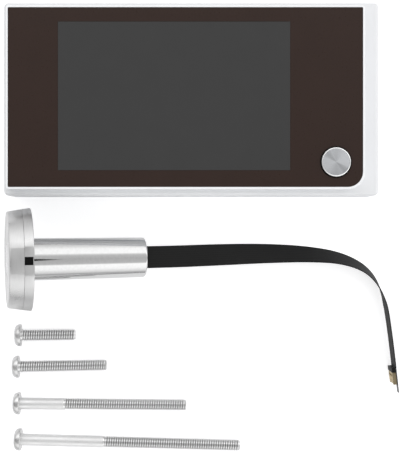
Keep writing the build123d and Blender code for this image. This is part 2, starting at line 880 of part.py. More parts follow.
# Front ring of the head: a cap with the lens window's seat
with BuildPart() as camera_cap:
    cap_rear = cap_length - cap_joint_gap
    with BuildSketch(camera_section):
        with BuildLine():
            Polyline(
                (0, 0),
                (0, head_front_radius - cap_front_edge),
                (cap_front_edge, head_cone(cap_front_edge)),
                (cap_rear, head_cone(cap_rear)),
                (cap_rear, head_front_radius - cap_skirt),
                (cap_front_wall, head_front_radius - cap_skirt),
                (cap_front_wall, 0),
                close=True,
            )
        make_face()
    revolve(axis=camera_axis)
    with BuildSketch(cross_plane(camera_section, 0)):
        Circle(lens_window_radius + panel_gap)
    extrude(amount=lens_window_sink + lens_window_thickness, mode=Mode.SUBTRACT)
    with BuildSketch(camera_section):
        with BuildLine():
            flat_outline(flat_start, cap_length + overrun, flat_depth)
        make_face()
    extrude(amount=head_radius / 2, both=True, mode=Mode.SUBTRACT)
finish(camera_cap, "camera_cap")

with BuildPart() as camera_key:
    with BuildSketch(cross_plane(camera_section, cap_length + panel_gap)):
        key_top = head_cone(cap_length) - flat_depth - flat_extra - key_sink
        key_bottom = head_radius - key_depth + panel_gap
        with Locations(((key_top + key_bottom) / 2, 0)):
            Rectangle(key_top - key_bottom, key_width - 2 * panel_gap)
    extrude(amount=head_length - cap_length - key_inset)
finish(camera_key, "camera_key")

with BuildPart() as lens_window:
    with BuildSketch(cross_plane(camera_section, lens_window_sink)):
        Circle(lens_window_radius)
    extrude(amount=lens_window_thickness)
finish(lens_window, "lens_window")

lens_front = lens_window_sink + lens_window_thickness + lens_dome + panel_gap
with BuildPart() as lens_barrel:
    with BuildSketch(camera_section):
        with BuildLine():
            Polyline(
                (lens_front, 0),
                (lens_front, lens_front_radius),
                (lens_front + lens_glass_depth, lens_front_radius),
                (lens_front + lens_glass_depth, lens_barrel_radius),
                (lens_front + lens_barrel_length, lens_barrel_radius),
                (lens_front + lens_barrel_length, 0),
                close=True,
            )
        make_face()
    revolve(axis=camera_axis)
    with BuildSketch(cross_plane(camera_section, lens_front)):
        Circle(lens_glass_radius + panel_gap)
    extrude(amount=lens_glass_depth, mode=Mode.SUBTRACT)
finish(lens_barrel, "lens_barrel")

with BuildPart() as lens_glass:
    dome_top = lens_front - lens_dome + panel_gap
    with BuildSketch(camera_section):
        with BuildLine():
            Polyline(
                (dome_top, 0),
                (dome_top + lens_dome / 4, lens_glass_radius * lens_dome_share),
                (dome_top + lens_dome, lens_glass_radius),
                (lens_front + lens_glass_depth - panel_gap, lens_glass_radius),
                (lens_front + lens_glass_depth - panel_gap, 0),
                close=True,
            )
        make_face()
    revolve(axis=camera_axis)
finish(lens_glass, "lens_glass")

sensor_board_at = lens_front + lens_barrel_length + panel_gap
with BuildPart() as sensor_board:
    with BuildSketch(cross_plane(camera_section, sensor_board_at)):
        Circle(lens_barrel_radius)
    extrude(amount=sensor_board_thickness)
finish(sensor_board, "sensor_board")

with BuildPart() as sensor_chip:
    with BuildSketch(
        cross_plane(camera_section, sensor_board_at + sensor_board_thickness)
    ):
        with Locations((sensor_side / 2 + ribbon_thickness, 0)):
            Rectangle(sensor_side - 2 * ribbon_thickness, sensor_side)
    extrude(amount=sensor_height)
finish(sensor_chip, "sensor_chip")

inner_start = sensor_board_at + sensor_board_thickness
with BuildPart() as inner_ribbon:
    with BuildSketch(cross_plane(camera_section, inner_start)):
        Rectangle(ribbon_thickness, ribbon_width)
    extrude(amount=barrel_end - inner_start)
finish(inner_ribbon, "inner_ribbon")

# Ribbon cable: flat where it leaves the barrel, turned on its edge by a twist that grows along the bend
ribbon_exit = camera_section.origin + camera_section.x_dir * barrel_end
ribbon_points = [
    ribbon_exit,
    ribbon_exit + camera_section.x_dir * ribbon_lead,
] + [Vector(*point) for point in ribbon_bend_points]


def bend_radius(index):
    """Returns the arc's radius at a corner: as large as its two runs allow."""
    before = ribbon_points[index] - ribbon_points[index - 1]
    after = ribbon_points[index + 1] - ribbon_points[index]
    half_turn = math.radians(before.get_angle(after)) / 2
    return ribbon_arc_share * min(before.length, after.length) / math.tan(half_turn)


ribbon_radii = [bend_radius(index) for index in range(1, len(ribbon_points) - 1)]
print("ribbon bend radii", [round(radius, 1) for radius in ribbon_radii])
with BuildLine() as ribbon_line:
    FilletPolyline(*ribbon_points, radius=ribbon_radii)
ribbon_route = ribbon_line.wires()[0]
up = Vector(0, 0, 1)

with BuildPart() as ribbon_cable:
    for index in range(ribbon_sections + 1):
        share = index / ribbon_sections
        forward = ribbon_route % share
        sideways = up.cross(forward).normalized()
        upward = forward.cross(sideways)
        turned = min(share * ribbon_route.length / ribbon_twist_length, 1)
        angle = math.radians(ribbon_quarter_turn * turned**ribbon_twist_power)
        across = sideways * math.cos(angle) - upward * math.sin(angle)
        with BuildSketch(Plane(ribbon_route @ share, x_dir=across, z_dir=forward)):
            Rectangle(ribbon_width, ribbon_thickness)
    loft(ruled=True)
section_volume = ribbon_width * ribbon_thickness * ribbon_route.length
print("ribbon length", round(ribbon_route.length, 2))
print("ribbon volume", round(ribbon_cable.part.volume, 1), "of", round(section_volume, 1))
finish(ribbon_cable, "ribbon_cable")

# Connector on the ribbon's end: a stiffened tail with a small plug on its inner side
plug_heading = ribbon_route % 1
plug_plane = Plane(
    origin=ribbon_route @ 1, x_dir=plug_heading, z_dir=plug_heading.cross(up)
)
plug_face = plug_board_thickness / 2
with BuildPart() as connector_board:
    with BuildSketch(plug_plane.offset(-plug_face)):
        with Locations((plug_length / 2, 0)):
            Rectangle(plug_length, plug_board_height)
    extrude(amount=plug_board_thickness)
finish(connector_board, "connector_board")

with BuildPart() as connector_cap:
    with BuildSketch(plug_plane.offset(plug_face)):
        with Locations((plug_cap_length / 2, 0)):
            Rectangle(plug_cap_length - plug_gap, plug_cap_height)
    extrude(amount=plug_body_thickness)
finish(connector_cap, "connector_cap")

with BuildPart() as connector_body:
    with BuildSketch(plug_plane.offset(plug_face)):
        with Locations((plug_cap_length + plug_body_length / 2, 0)):
            Rectangle(plug_body_length, plug_body_height)
    extrude(amount=plug_body_thickness)
finish(connector_body, "connector_body")

contact_span = plug_body_height - 2 * contact_margin
contact_pitch = contact_span / (contact_count - 1)
with BuildPart() as connector_contacts:
    with BuildSketch(plug_plane.offset(plug_face + plug_body_thickness)):
        with Locations((plug_cap_length + plug_body_length / 2, 0)):
            with GridLocations(0, contact_pitch, 1, contact_count):
                Rectangle(plug_body_length - 2 * contact_margin, contact_strip_width)
    extrude(amount=contact_strip_thickness)
finish(connector_contacts, "connector_contacts")

# Loose screws: pan heads with a cross recess, lying on their heads' rims and their tips
for screw_name, length, head_x, head_y, turn in screw_table:
    screw_end = screw_head_height + length
    section = lying_frame(
        head_x, head_y, turn, screw_head_height, screw_head_radius, screw_end - screw_tip, screw_radius
    )
    with BuildPart() as loose_screw:
        with BuildSketch(section):
            with BuildLine():
                Polyline(
                    (0, 0),
                    *[
                        (deep * screw_head_height, wide * screw_head_radius)
                        for deep, wide in screw_head_shares
                    ],
                    (screw_head_height, screw_head_radius),
                    (screw_head_height, screw_radius),
                    (screw_end - screw_tip, screw_radius),
                    (screw_end, screw_radius - screw_tip),
                    (screw_end, 0),
                    close=True,
                )
            make_face()
        revolve(axis=Axis(section.origin, section.x_dir))
        with BuildSketch(cross_plane(section, 0)):
            Rectangle(recess_length, recess_width)
            Rectangle(recess_width, recess_length)
        extrude(amount=recess_depth, mode=Mode.SUBTRACT)
    finish(loose_screw, screw_name)
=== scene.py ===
import math

import bmesh
import bpy
from bpy.props import FloatProperty, FloatVectorProperty, IntProperty, PointerProperty
from mathutils import Matrix, Vector


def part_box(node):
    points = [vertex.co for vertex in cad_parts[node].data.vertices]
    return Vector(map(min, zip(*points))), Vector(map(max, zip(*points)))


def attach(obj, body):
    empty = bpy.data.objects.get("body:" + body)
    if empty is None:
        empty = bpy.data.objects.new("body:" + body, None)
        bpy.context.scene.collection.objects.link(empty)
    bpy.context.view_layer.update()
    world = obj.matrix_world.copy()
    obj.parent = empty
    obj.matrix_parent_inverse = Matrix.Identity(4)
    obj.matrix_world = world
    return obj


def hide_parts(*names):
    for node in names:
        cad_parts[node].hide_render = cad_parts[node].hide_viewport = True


bl_info = {
    "name": "Door viewer kit",
    "version": (1, 0, 0),
    "blender": (4, 5, 0),
    "location": "View3D > Sidebar > Viewer Kit",
    "description": "Dresses a door viewer's monitor, camera, ribbon and screws",
    "category": "Object",
}

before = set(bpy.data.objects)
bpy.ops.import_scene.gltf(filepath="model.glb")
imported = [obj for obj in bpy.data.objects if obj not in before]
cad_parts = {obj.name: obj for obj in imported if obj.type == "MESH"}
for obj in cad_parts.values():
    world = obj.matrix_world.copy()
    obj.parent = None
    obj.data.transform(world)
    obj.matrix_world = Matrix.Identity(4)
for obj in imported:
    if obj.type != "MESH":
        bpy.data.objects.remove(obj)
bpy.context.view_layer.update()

KIT = "kit"
MM = 0.001

# How many times smaller or larger than its default a length setting may be
SETTING_SPAN = 4

# Finishes shared by all materials
COAT_ROUGHNESS = 0.08
GRAINS_PER_CLOUD = 30
GRAIN_PER_DEPTH = 12
SCRATCH_PER_DEPTH = 60
DULL_SHARE, GLOSSY_SHARE = 1.12, 0.9
POLISH_CLOUD = 0.006
WORN_SHARE = 0.965
JET = (0.004, 0.004, 0.004)

# Blocks and turned pieces
TINY = 1e-7
ROUND_SEGMENTS = 192
SOFT_REACH = 0.45

# Route of the ribbon after its straight lead, on the table, in metres
RIBBON_BENDS = [
    (0.0089, -0.0519, 0.0035),
    (0.0249, -0.0514, 0.0034),
    (0.0399, -0.0516, 0.0035),
    (0.0519, -0.0530, 0.0037),
    (0.0609, -0.0573, 0.0039),
    (0.0657, -0.0652, 0.0039),
    (0.0678, -0.0776, 0.0039),
    (0.0692, -0.0900, 0.0039),
]
ROUTE_STEPS = 14

# The ribbon's section: steps over each track, and heights in shares of its thickness
TRACK_STEPS = 4
FILM_SHARE = 0.42
RIDGE_SHARE = 0.07
EDGE_SHARE = 0.35
EDGE_SLOPE = 14

# The connector, in millimetres from the ribbon's end: along it, across it and above it
TAIL_BOX = ((0, -3.5, -0.14), (5.9, 3.5, 0.14))
TIP_BOX = ((5.9, 1.2, -0.14), (8.55, 3.4, 0.14))
END_BOX = ((0.06, -3.55, 0.16), (1.52, 3.55, 1.5))
PLUG_BOX = ((1.64, -3.18, 0.16), (5.76, 3.18, 1.4))
PLUG_GROOVES = [((4.3, -2.6, 1.1), (7, 2.6, 3)), ((2.4, -2.6, 1.1), (3.4, 2.6, 3))]
PLUG_EDGE = 0.14
# Plug faces that tilt up more than this get the painted shade
PLUG_SHADE_SLOPE = 0.7
CONNECTOR_EDGE = 0.08
CONTACT_SPAN = 4.7
CONTACT_CORNER = (2.9, 0.0, 1.05)
CONTACT_SIZE = (2.4, 0.28, 0.42)

# The button from its face down: depth and radius, and how far each inner corner is rounded
BUTTON_TOP = [
    (0.0, 0.0), (0.0, 4.28), (0.1, 4.34), (0.0, 4.42), (0.17, 4.71), (0.26, 4.85), (2.4, 4.85),
]
BUTTON_ROUNDING = [0.04, 0.03, 0.04, 0.01, 0.05]
BUTTON_COLLAR = [(2.42, 5.95), (3.2, 5.95)]
BUTTON_STEM = 1.2
DISH_RADIUS, DISH_DEPTH = 4.3, 0.06
FACE_DEPTH = 0.05
# Between these radii the rim gets a lighter, rougher plate: partly its own finish, partly a painted
# highlight
RIM_FROM, RIM_TO = 4.38, 4.715
# Deeper than this and outside the rim the button is black: partly a black flange, partly painted
# shade in the gap round it
SKIRT_FROM = 0.5
RINGS_SCALE = 0.314
# Turn of the button's painted reflection sectors, in degrees
PAINTED_FAN_TURN = 84

# The outdoor camera's place on the table in metres, and its turn in degrees
CAMERA_PLACE = (-0.06025, -0.05314)
CAMERA_TURN = 0.65

# The outdoor camera's fixed details, in millimetres
HEAD_EDGE, BARREL_EDGE = 0.35, 0.8
CAP_WALL, CAP_SKIRT, CAP_ROUNDING = 1.4, 1.6, 0.3
JOINT_GAP, JOINT_ROUNDING = 0.06, 0.05
HUB_FRONT, HUB_RADIUS = 1.6, 9
RING_BORE, RING_ROUNDING = 6.55, 0.4
SPIGOT, BORE, END_BLOCK = 6.5, 5.6, 12
SPIGOT_PAST_HEAD = 0.05
END_SHARE, END_ROUNDING = 0.965, 0.7
RIBBON_SLOT = (7.8, 0.7)
HOLE_SPACING, HOLE_RADIUS, HOLE_DEPTH = 9.0, 1.73, 10
FLAT_START, FLAT_WIDTH, FLAT_HEIGHT = 0.5, 12, 5
FLAT_DEPTH, FLAT_STEP = 0.49, 0.1
KEY_WIDTH, KEY_BOTTOM, KEY_TOP = 2.6, 14.3, 20
PANE_RADIUS, PANE_SEAT, PANE_DEPTH, PANE_EDGE = 5.2, 5.25, 1.4, 0.08
PANE_SINK = 0.03
OVERRUN, SLIVER = 1, 0.01

# The loose screws: node, thread and shank below the head, plain part of it, place of the
# head, turn. Lengths are in metres and turns in degrees.
SCREWS = [
    ("screw_18mm", 0.0185, 0.0, (-0.0606, -0.0794), 0.0),
    ("screw_30mm", 0.0300, 0.0, (-0.0614, -0.0902), 0.7),
    ("screw_57mm", 0.0570, 0.0150, (-0.0611, -0.1027), -0.8),
    ("screw_75mm", 0.0750, 0.0280, (-0.0607, -0.1150), -1.8),
]

# Details of the screws, in millimetres, shares of the pitch, and degrees
DOME_STEPS, DOME_POWER = 14, 0.45
DOME_RIM, DOME_EDGE = 0.5, 0.12
NECK, SHANK_GAP, SHANK_FROM = 0.4, 0.05, 0.1
CROSS_WIDE, CROSS_NARROW, CROSS_DEEP, CROSS_TAPER = 2.9, 0.5, 1.7, 0.55
THREAD_SEGMENTS, THREAD_STEPS = 28, 7
# Thread depth in shares of the pitch, and the share of it below which root faces get painted shade
THREAD_DEPTH, ROOT_SHADE_DEPTH = 0.58, 0.55
FLANK_SLOPE, FLANK_SINK = 1.5525, 0.2
RUN_IN, TIP_LENGTH, TIP_DEPTH, TIP_REST = 0.7, 0.6, 0.55, 0.4
THREAD_SHARP = 60

# The stage, in metres
LAMP_PLACE, LAMP_AIM = (-0.45, 0.55, 0.75), (0, -0.04, 0)
LAMP_SIZE, LAMP_ENERGY = (0.9, 0.6), 0.6
TABLE_SIZE, TABLE_DROP = 4, 0.00005
# The table's painted pool of light round the kit: where it starts and stops fading, and the painted
# shade of its colour beyond
NEAR_TABLE, FAR_TABLE, FAR_SHADE = 0.13, 0.19, 0.76
SEEN_LIFT, MIRRORED_LIFT = 0.58, 0.35
CARD_CORNERS = [(0.07, -0.141, 0.42), (0.07, 0.009, 0.42), (0.124, -0.066, 0.42)]
TENT_LEAN = 0.35
# Brightness of the tent from the near horizon over the top to the far one
TENT_STOPS = [
    (0.0, 0.80), (0.07, 1.08), (0.15, 1.34), (0.29, 1.40), (0.335, 0.68), (0.40, 0.62),
    (0.50, 0.58), (0.60, 0.68), (0.63, 0.80), (0.685, 1.38), (0.83, 1.36), (0.93, 1.0),
    (1.0, 0.80),
]


def length(name, value, text):
    """A length setting in metres, with a range around its default."""
    return FloatProperty(
        name=name, description=text, default=value, min=value / SETTING_SPAN,
        max=value * SETTING_SPAN, precision=5, unit="LENGTH",
    )


def colour(name, value, text):
    """A colour setting. The value is given as it looks on screen, from 0 to 255."""
    linear = []
    for channel in value:
        share = channel / 255
        linear.append(share / 12.92 if share < 0.04045 else ((share + 0.055) / 1.055) ** 2.4)
    return FloatVectorProperty(
        name=name, description=text, default=linear, min=0, max=1, size=3, subtype="COLOR",
    )


class MonitorSettings(bpy.types.PropertyGroup):
    """Colours of the monitor's outside, and the pitch of its fine marks."""

    case: colour("Case", (234, 235, 237), "Shoulder and sides of the case")
    back: colour("Back", (206, 209, 214), "Rear cover and battery cover")
    border: colour("Border", (247, 248, 250), "Raised border round the panel")
    panel: colour("Panel", (46, 31, 25), "Printed front panel")
    window: colour("Window", (58, 58, 58), "Tinted display window")
    button: colour("Button", (214, 216, 219), "Turned metal of the button")
    button_ring: length("Ring pitch", 0.00022, "Distance between the button's turned rings")
    grain: length("Case grain", 0.0006, "Size of the case's moulded grain")


class CameraSettings(bpy.types.PropertyGroup):
    """Sizes and colours of the outdoor camera."""

    head_radius: length("Head radius", 0.0169, "Radius of the round head")
    front_radius: length("Front radius", 0.0158, "Radius of the head's front face")
    head_length: length("Head length", 0.0077, "Thickness of the round head")
    cap_length: length("Front ring", 0.0047, "Length of the head's front ring")
    barrel_radius: length("Barrel radius", 0.0070, "Radius of the barrel")
    barrel_length: length("Barrel length", 0.0380, "Length of the barrel behind the head")
    chrome: colour("Chrome", (206, 206, 206), "Polished plate")
    lens: colour("Lens", (38, 42, 60), "Coated lens glass")


class RibbonSettings(bpy.types.PropertyGroup):
    """Sizes and colours of the flat ribbon and its connector."""

    width: length("Width", 0.0075, "Width of the ribbon")
    thickness: length("Thickness", 0.0004, "Thickness of the ribbon")
    lead: length("Lead", 0.010, "Straight length where it leaves the barrel")
    twist_length: length("Twist length", 0.091, "Length over which it turns onto its edge")
    twist_power: FloatProperty(
        name="Twist power", description="How much later the twist grows than the length",
        default=1.4, min=0.5, max=3.0,
    )
    conductors: IntProperty(
        name="Conductors", description="Copper tracks in the ribbon", default=10, min=2, max=40
    )
    film: colour("Film", (27, 27, 27), "Black cover film")
    plug: colour("Plug", (186, 168, 128), "Plug housing")


class ScrewSettings(bpy.types.PropertyGroup):
    """Sizes and colour of the loose machine screws."""

    radius: length("Thread radius", 0.00208, "Outer radius of the thread")
    pitch: length("Pitch", 0.000794, "Distance between two turns of the thread")
    head_radius: length("Head radius", 0.0038, "Radius of the pan head")
    head_height: length("Head height", 0.0024, "Height of the pan head")
    zinc: colour("Zinc", (226, 226, 226), "Bright plate")


class StageSettings(bpy.types.PropertyGroup):
    """The table and the camera above it."""

    distance: length("Camera height", 0.320, "Height of the camera above the table")
    focal: FloatProperty(
        name="Focal length", description="Focal length for a 36 mm wide frame, in millimetres",
        default=72.95, min=20, max=200,
    )
    view: FloatVectorProperty(
        name="View", description="Place of the view's middle", default=(0.00288, -0.04273),
        size=2, precision=5, unit="LENGTH",
    )
    table: colour("Table", (229, 229, 230), "Table that the kit lies on")


SETTINGS = {
    "viewer_monitor": MonitorSettings,
    "viewer_camera": CameraSettings,
    "viewer_ribbon": RibbonSettings,
    "viewer_screws": ScrewSettings,
    "viewer_stage": StageSettings,
}


def finish_of(name, base, roughness, metal=0.0, coat=0.0, specular=0.5, anisotropy=0.0):
    """Starts a node material and returns it with its tree and its shader."""
    material = bpy.data.materials.new(name)
    material.use_nodes = True
    tree = material.node_tree
    shader = tree.nodes["Principled BSDF"]
    shader.inputs["Base Color"].default_value = (*base, 1)
    shader.inputs["Roughness"].default_value = roughness
    shader.inputs["Metallic"].default_value = metal
    shader.inputs["Coat Weight"].default_value = coat
    shader.inputs["Coat Roughness"].default_value = COAT_ROUGHNESS
    shader.inputs["Specular IOR Level"].default_value = specular
    shader.inputs["Anisotropic"].default_value = anisotropy
    return material, tree, shader


def own_place(tree):
    """The place on the piece, in its own coordinates."""
    return tree.nodes.new("ShaderNodeTexCoord").outputs["Object"]


def parts_of(tree, vector):
    """The X, Y and Z of a vector."""
    split = tree.nodes.new("ShaderNodeSeparateXYZ")
    tree.links.new(vector, split.inputs["Vector"])
    return split.outputs


def maths(tree, operation, *values):
    """The result of one operation on sockets and plain numbers."""
    node = tree.nodes.new("ShaderNodeMath")
    node.operation = operation
    for socket, value in zip(node.inputs, values):
        if isinstance(value, (int, float)):
            socket.default_value = value
        else:
            tree.links.new(value, socket)
    return node.outputs[0]


def spread(tree, value, low, high, first=0.0, last=1.0):
    """A value moved from one range to another, and held inside it."""
    node = tree.nodes.new("ShaderNodeMapRange")
    node.inputs["From Min"].default_value = low
    node.inputs["From Max"].default_value = high
    node.inputs["To Min"].default_value = first
    node.inputs["To Max"].default_value = last
    tree.links.new(value, node.inputs["Value"])
    return node.outputs["Result"]


def grain_of(tree, size, detail, stretch=(1, 1, 1)):
    """A noise over the piece's own coordinates, whose grains are about the given size."""
    mapping = tree.nodes.new("ShaderNodeMapping")
    mapping.inputs["Scale"].default_value = stretch
    noise = tree.nodes.new("ShaderNodeTexNoise")
    noise.inputs["Scale"].default_value = 1 / size
    noise.inputs["Detail"].default_value = detail
    tree.links.new(own_place(tree), mapping.inputs["Vector"])
    tree.links.new(mapping.outputs["Vector"], noise.inputs["Vector"])
    return noise.outputs["Fac"]


def ramp_of(tree, value, first, last, low=0.3, high=0.7):
    """Turns a value into a colour between two stops."""
    ramp = tree.nodes.new("ShaderNodeValToRGB")
    for stop, place, tone in zip(ramp.color_ramp.elements, (low, high), (first, last)):
        stop.position = place
        stop.color = (*tone, 1)
    tree.links.new(value, ramp.inputs["Fac"])
    return ramp.outputs["Color"]


def gloss_of(tree, shader, value, smooth, dull):
    """Lets the shader's roughness wander between two levels."""
    tree.links.new(
        ramp_of(tree, value, (smooth,) * 3, (dull,) * 3), shader.inputs["Roughness"]
    )


def bump_of(tree, shader, height, strength, depth):
    """Adds a fine relief to the shader."""
    bump = tree.nodes.new("ShaderNodeBump")
    bump.inputs["Strength"].default_value = strength
    bump.inputs["Distance"].default_value = depth
    tree.links.new(height, bump.inputs["Height"])
    tree.links.new(bump.outputs["Normal"], shader.inputs["Normal"])


def shaded(base, factor):
    """The colour, made lighter or darker."""
    return tuple(min(1.0, c * factor) for c in base)


def moulded(name, base, roughness, grain, relief=0.12, variation=0.03, coat=0.0, specular=0.5):
    """A moulded plastic with a fine grain, faint cloudiness and uneven gloss."""
    material, tree, shader = finish_of(name, base, roughness, coat=coat, specular=specular)
    cloud = grain_of(tree, GRAINS_PER_CLOUD * grain, 4)
    tint = ramp_of(tree, cloud, shaded(base, 1 - variation), shaded(base, 1 + variation))
    tree.links.new(tint, shader.inputs["Base Color"])
    fine = grain_of(tree, grain, 2)
    gloss_of(tree, shader, fine, roughness * GLOSSY_SHARE, min(1, roughness * DULL_SHARE))
    bump_of(tree, shader, fine, relief, grain / GRAIN_PER_DEPTH)
    return material


def plated(name, base, roughness, brushed=(1, 1, 1), scratch=0.0009, relief=0.05, smudge=0.35):
    """A plated metal with faint smudges in its gloss and very fine polishing marks."""
    material, tree, shader = finish_of(name, base, roughness, metal=1.0)
    cloud = grain_of(tree, POLISH_CLOUD, 5)
    gloss_of(tree, shader, cloud, roughness * (1 - smudge), roughness * (1 + smudge))
    marks = grain_of(tree, scratch, 4, stretch=brushed)
    tint = ramp_of(tree, marks, shaded(base, WORN_SHARE), base, 0.35, 0.6)
    tree.links.new(tint, shader.inputs["Base Color"])
    bump_of(tree, shader, marks, relief, scratch / SCRATCH_PER_DEPTH)
    return material


def board(name, base):
    """Solder-masked board with fine copper tracks that show through it."""
    material, tree, shader = finish_of(name, base, 0.35)
    tracks = tree.nodes.new("ShaderNodeTexBrick")
    tracks.inputs["Scale"].default_value = 220
    tracks.inputs["Mortar Size"].default_value = 0.03
    for socket, factor in (("Color1", 1), ("Color2", 0.86), ("Mortar", 1.7)):
        tracks.inputs[socket].default_value = (*shaded(base, factor), 1)
    tree.links.new(own_place(tree), tracks.inputs["Vector"])
    tree.links.new(tracks.outputs["Color"], shader.inputs["Base Color"])
    bump_of(tree, shader, tracks.outputs["Fac"], 0.2, 0.00003)
    return material


def dress(material, slot, *nodes):
    """Gives carried-over nodes their material."""
    for node in nodes:
        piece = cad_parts[node]
        piece.data.materials.clear()
        piece.data.materials.append(material)


def linked(name, data):
    """Puts new data into the scene as an object."""
    thing = bpy.data.objects.new(name, data)
    bpy.context.scene.collection.objects.link(thing)
    return thing


def piece_of(name, mesh, material, body, nodes=(), sharp=30):
    """Links a mesh as a piece that rides on a body and stands for the given nodes."""
    piece = linked(name, mesh)
    mesh.materials.clear()
    mesh.materials.append(material)
    mesh.shade_smooth()
    mesh.set_sharp_from_angle(angle=math.radians(sharp))
    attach(piece, body)
    if nodes:
        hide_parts(*nodes)
    return piece


def mesh_of(made, name, matrix=None):
    """Ends the building of a mesh, and moves it into a frame."""
    mesh = bpy.data.meshes.new(name)
    made.to_mesh(mesh)
    made.free()
    if matrix is not None:
        mesh.transform(matrix)
    return mesh


def lying(place, turn, wide_at, wide_radius, thin_at, thin_radius):
    """The frame of a turned piece that lies on its rim and thin end: X down its axis, Z up."""
    tilt = math.atan((wide_radius - thin_radius) / (thin_at - wide_at))
    height = wide_radius * math.cos(tilt) + wide_at * math.sin(tilt)
    heading = math.radians(turn)
    across, level = math.cos(heading), math.sin(heading)
    along = Vector((math.cos(tilt) * across, math.cos(tilt) * level, -math.sin(tilt)))
    up = Vector((math.sin(tilt) * across, math.sin(tilt) * level, math.cos(tilt)))
    matrix = Matrix((along, up.cross(along), up)).transposed().to_4x4()
    matrix.translation = Vector((*place, height))
    return matrix


def softened(points, radii, steps):
    """Rounds each inner corner of an outline by its radius, or by what its sides allow."""
    points = [Vector(p) for p in points]
    out = [points[0]]
    for before, corner, after, radius in zip(points, points[1:], points[2:], radii):
        back, on = before - corner, after - corner
        reach = min(radius, back.length * SOFT_REACH, on.length * SOFT_REACH)
        start, end = corner + back.normalized() * reach, corner + on.normalized() * reach
        for index in range(steps + 1):
            t = index / steps
            out.append(start * (1 - t) ** 2 + corner * 2 * t * (1 - t) + end * t * t)
    out.append(points[-1])
    return out


def turned(name, outline, matrix, segments=ROUND_SEGMENTS):
    """Turns an outline of places and radii in millimetres about the frame's X axis."""
    made = bmesh.new()
    rings = []
    for along, radius in outline:
        along, radius = along * MM, radius * MM
        if radius < TINY:
            rings.append([made.verts.new((along, 0, 0))])
            continue
        ring = []
        for index in range(segments):
            angle = 2 * math.pi * index / segments
            place = (along, radius * math.sin(angle), radius * math.cos(angle))
            ring.append(made.verts.new(place))
        rings.append(ring)
    for first, second in zip(rings, rings[1:]):
        for index in range(segments):
            following = (index + 1) % segments
            corners = [first[index % len(first)], first[following % len(first)]]
            corners += [second[following % len(second)], second[index % len(second)]]
            unique = list(dict.fromkeys(corners))
            if len(unique) > 2:
                made.faces.new(unique)
    bmesh.ops.remove_doubles(made, verts=made.verts, dist=TINY)
    bmesh.ops.recalc_face_normals(made, faces=made.faces)
    return mesh_of(made, name, matrix)


def block(name, box, matrix, taper=1.0, bevel=0.0):
    """A block between two corners in millimetres, with a tapered far end and rounded edges."""
    made = bmesh.new()
    bmesh.ops.create_cube(made, size=1)
    low, high = (Vector(corner) * MM for corner in box)
    middle = (low + high) / 2
    for vertex in made.verts:
        share = vertex.co + Vector((0.5, 0.5, 0.5))
        co = Vector(l + (h - l) * s for l, h, s in zip(low, high, share))
        if share.x > 0.5:
            co.y = middle.y + (co.y - middle.y) * taper
            co.z = middle.z + (co.z - middle.z) * taper
        vertex.co = co
    if bevel:
        bmesh.ops.bevel(
            made, geom=made.edges[:], offset=bevel * MM, segments=3, affect="EDGES", profile=0.6
        )
    return mesh_of(made, name, matrix)


def carved(mesh, cutters):
    """The mesh with the cutters taken out of it."""
    work = linked("work", mesh)
    tools = []
    for cutter in cutters:
        tool = linked("cutter", cutter)
        tools.append(tool)
        modifier = work.modifiers.new("cut", "BOOLEAN")
        modifier.operation = "DIFFERENCE"
        modifier.solver = "EXACT"
        modifier.object = tool
    bpy.context.view_layer.update()
    graph = bpy.context.evaluated_depsgraph_get()
    result = bpy.data.meshes.new_from_object(work.evaluated_get(graph))
    for thing in [work, *tools]:
        bpy.data.objects.remove(thing)
    return result


def camera_frame():
    """The frame of the outdoor camera as it lies on the table."""
    sizes = bpy.context.scene.viewer_camera
    rim = sizes.head_length - HEAD_EDGE * MM
    end = sizes.head_length + sizes.barrel_length - BARREL_EDGE * MM
    return lying(CAMERA_PLACE, CAMERA_TURN, rim, sizes.head_radius, end, sizes.barrel_radius)


class VIEWER_OT_camera(bpy.types.Operator):
    bl_idname = "viewer.camera"
    bl_label = "Add picture camera"

    def execute(self, context):
        sizes = context.scene.viewer_stage
        data = bpy.data.cameras.new("picture_camera")
        data.sensor_width = 36
        data.lens = sizes.focal
        data.clip_start = 0.01
        camera = linked("picture_camera", data)
        camera.location = (*sizes.view, sizes.distance)
        context.scene.camera = camera
        return {"FINISHED"}


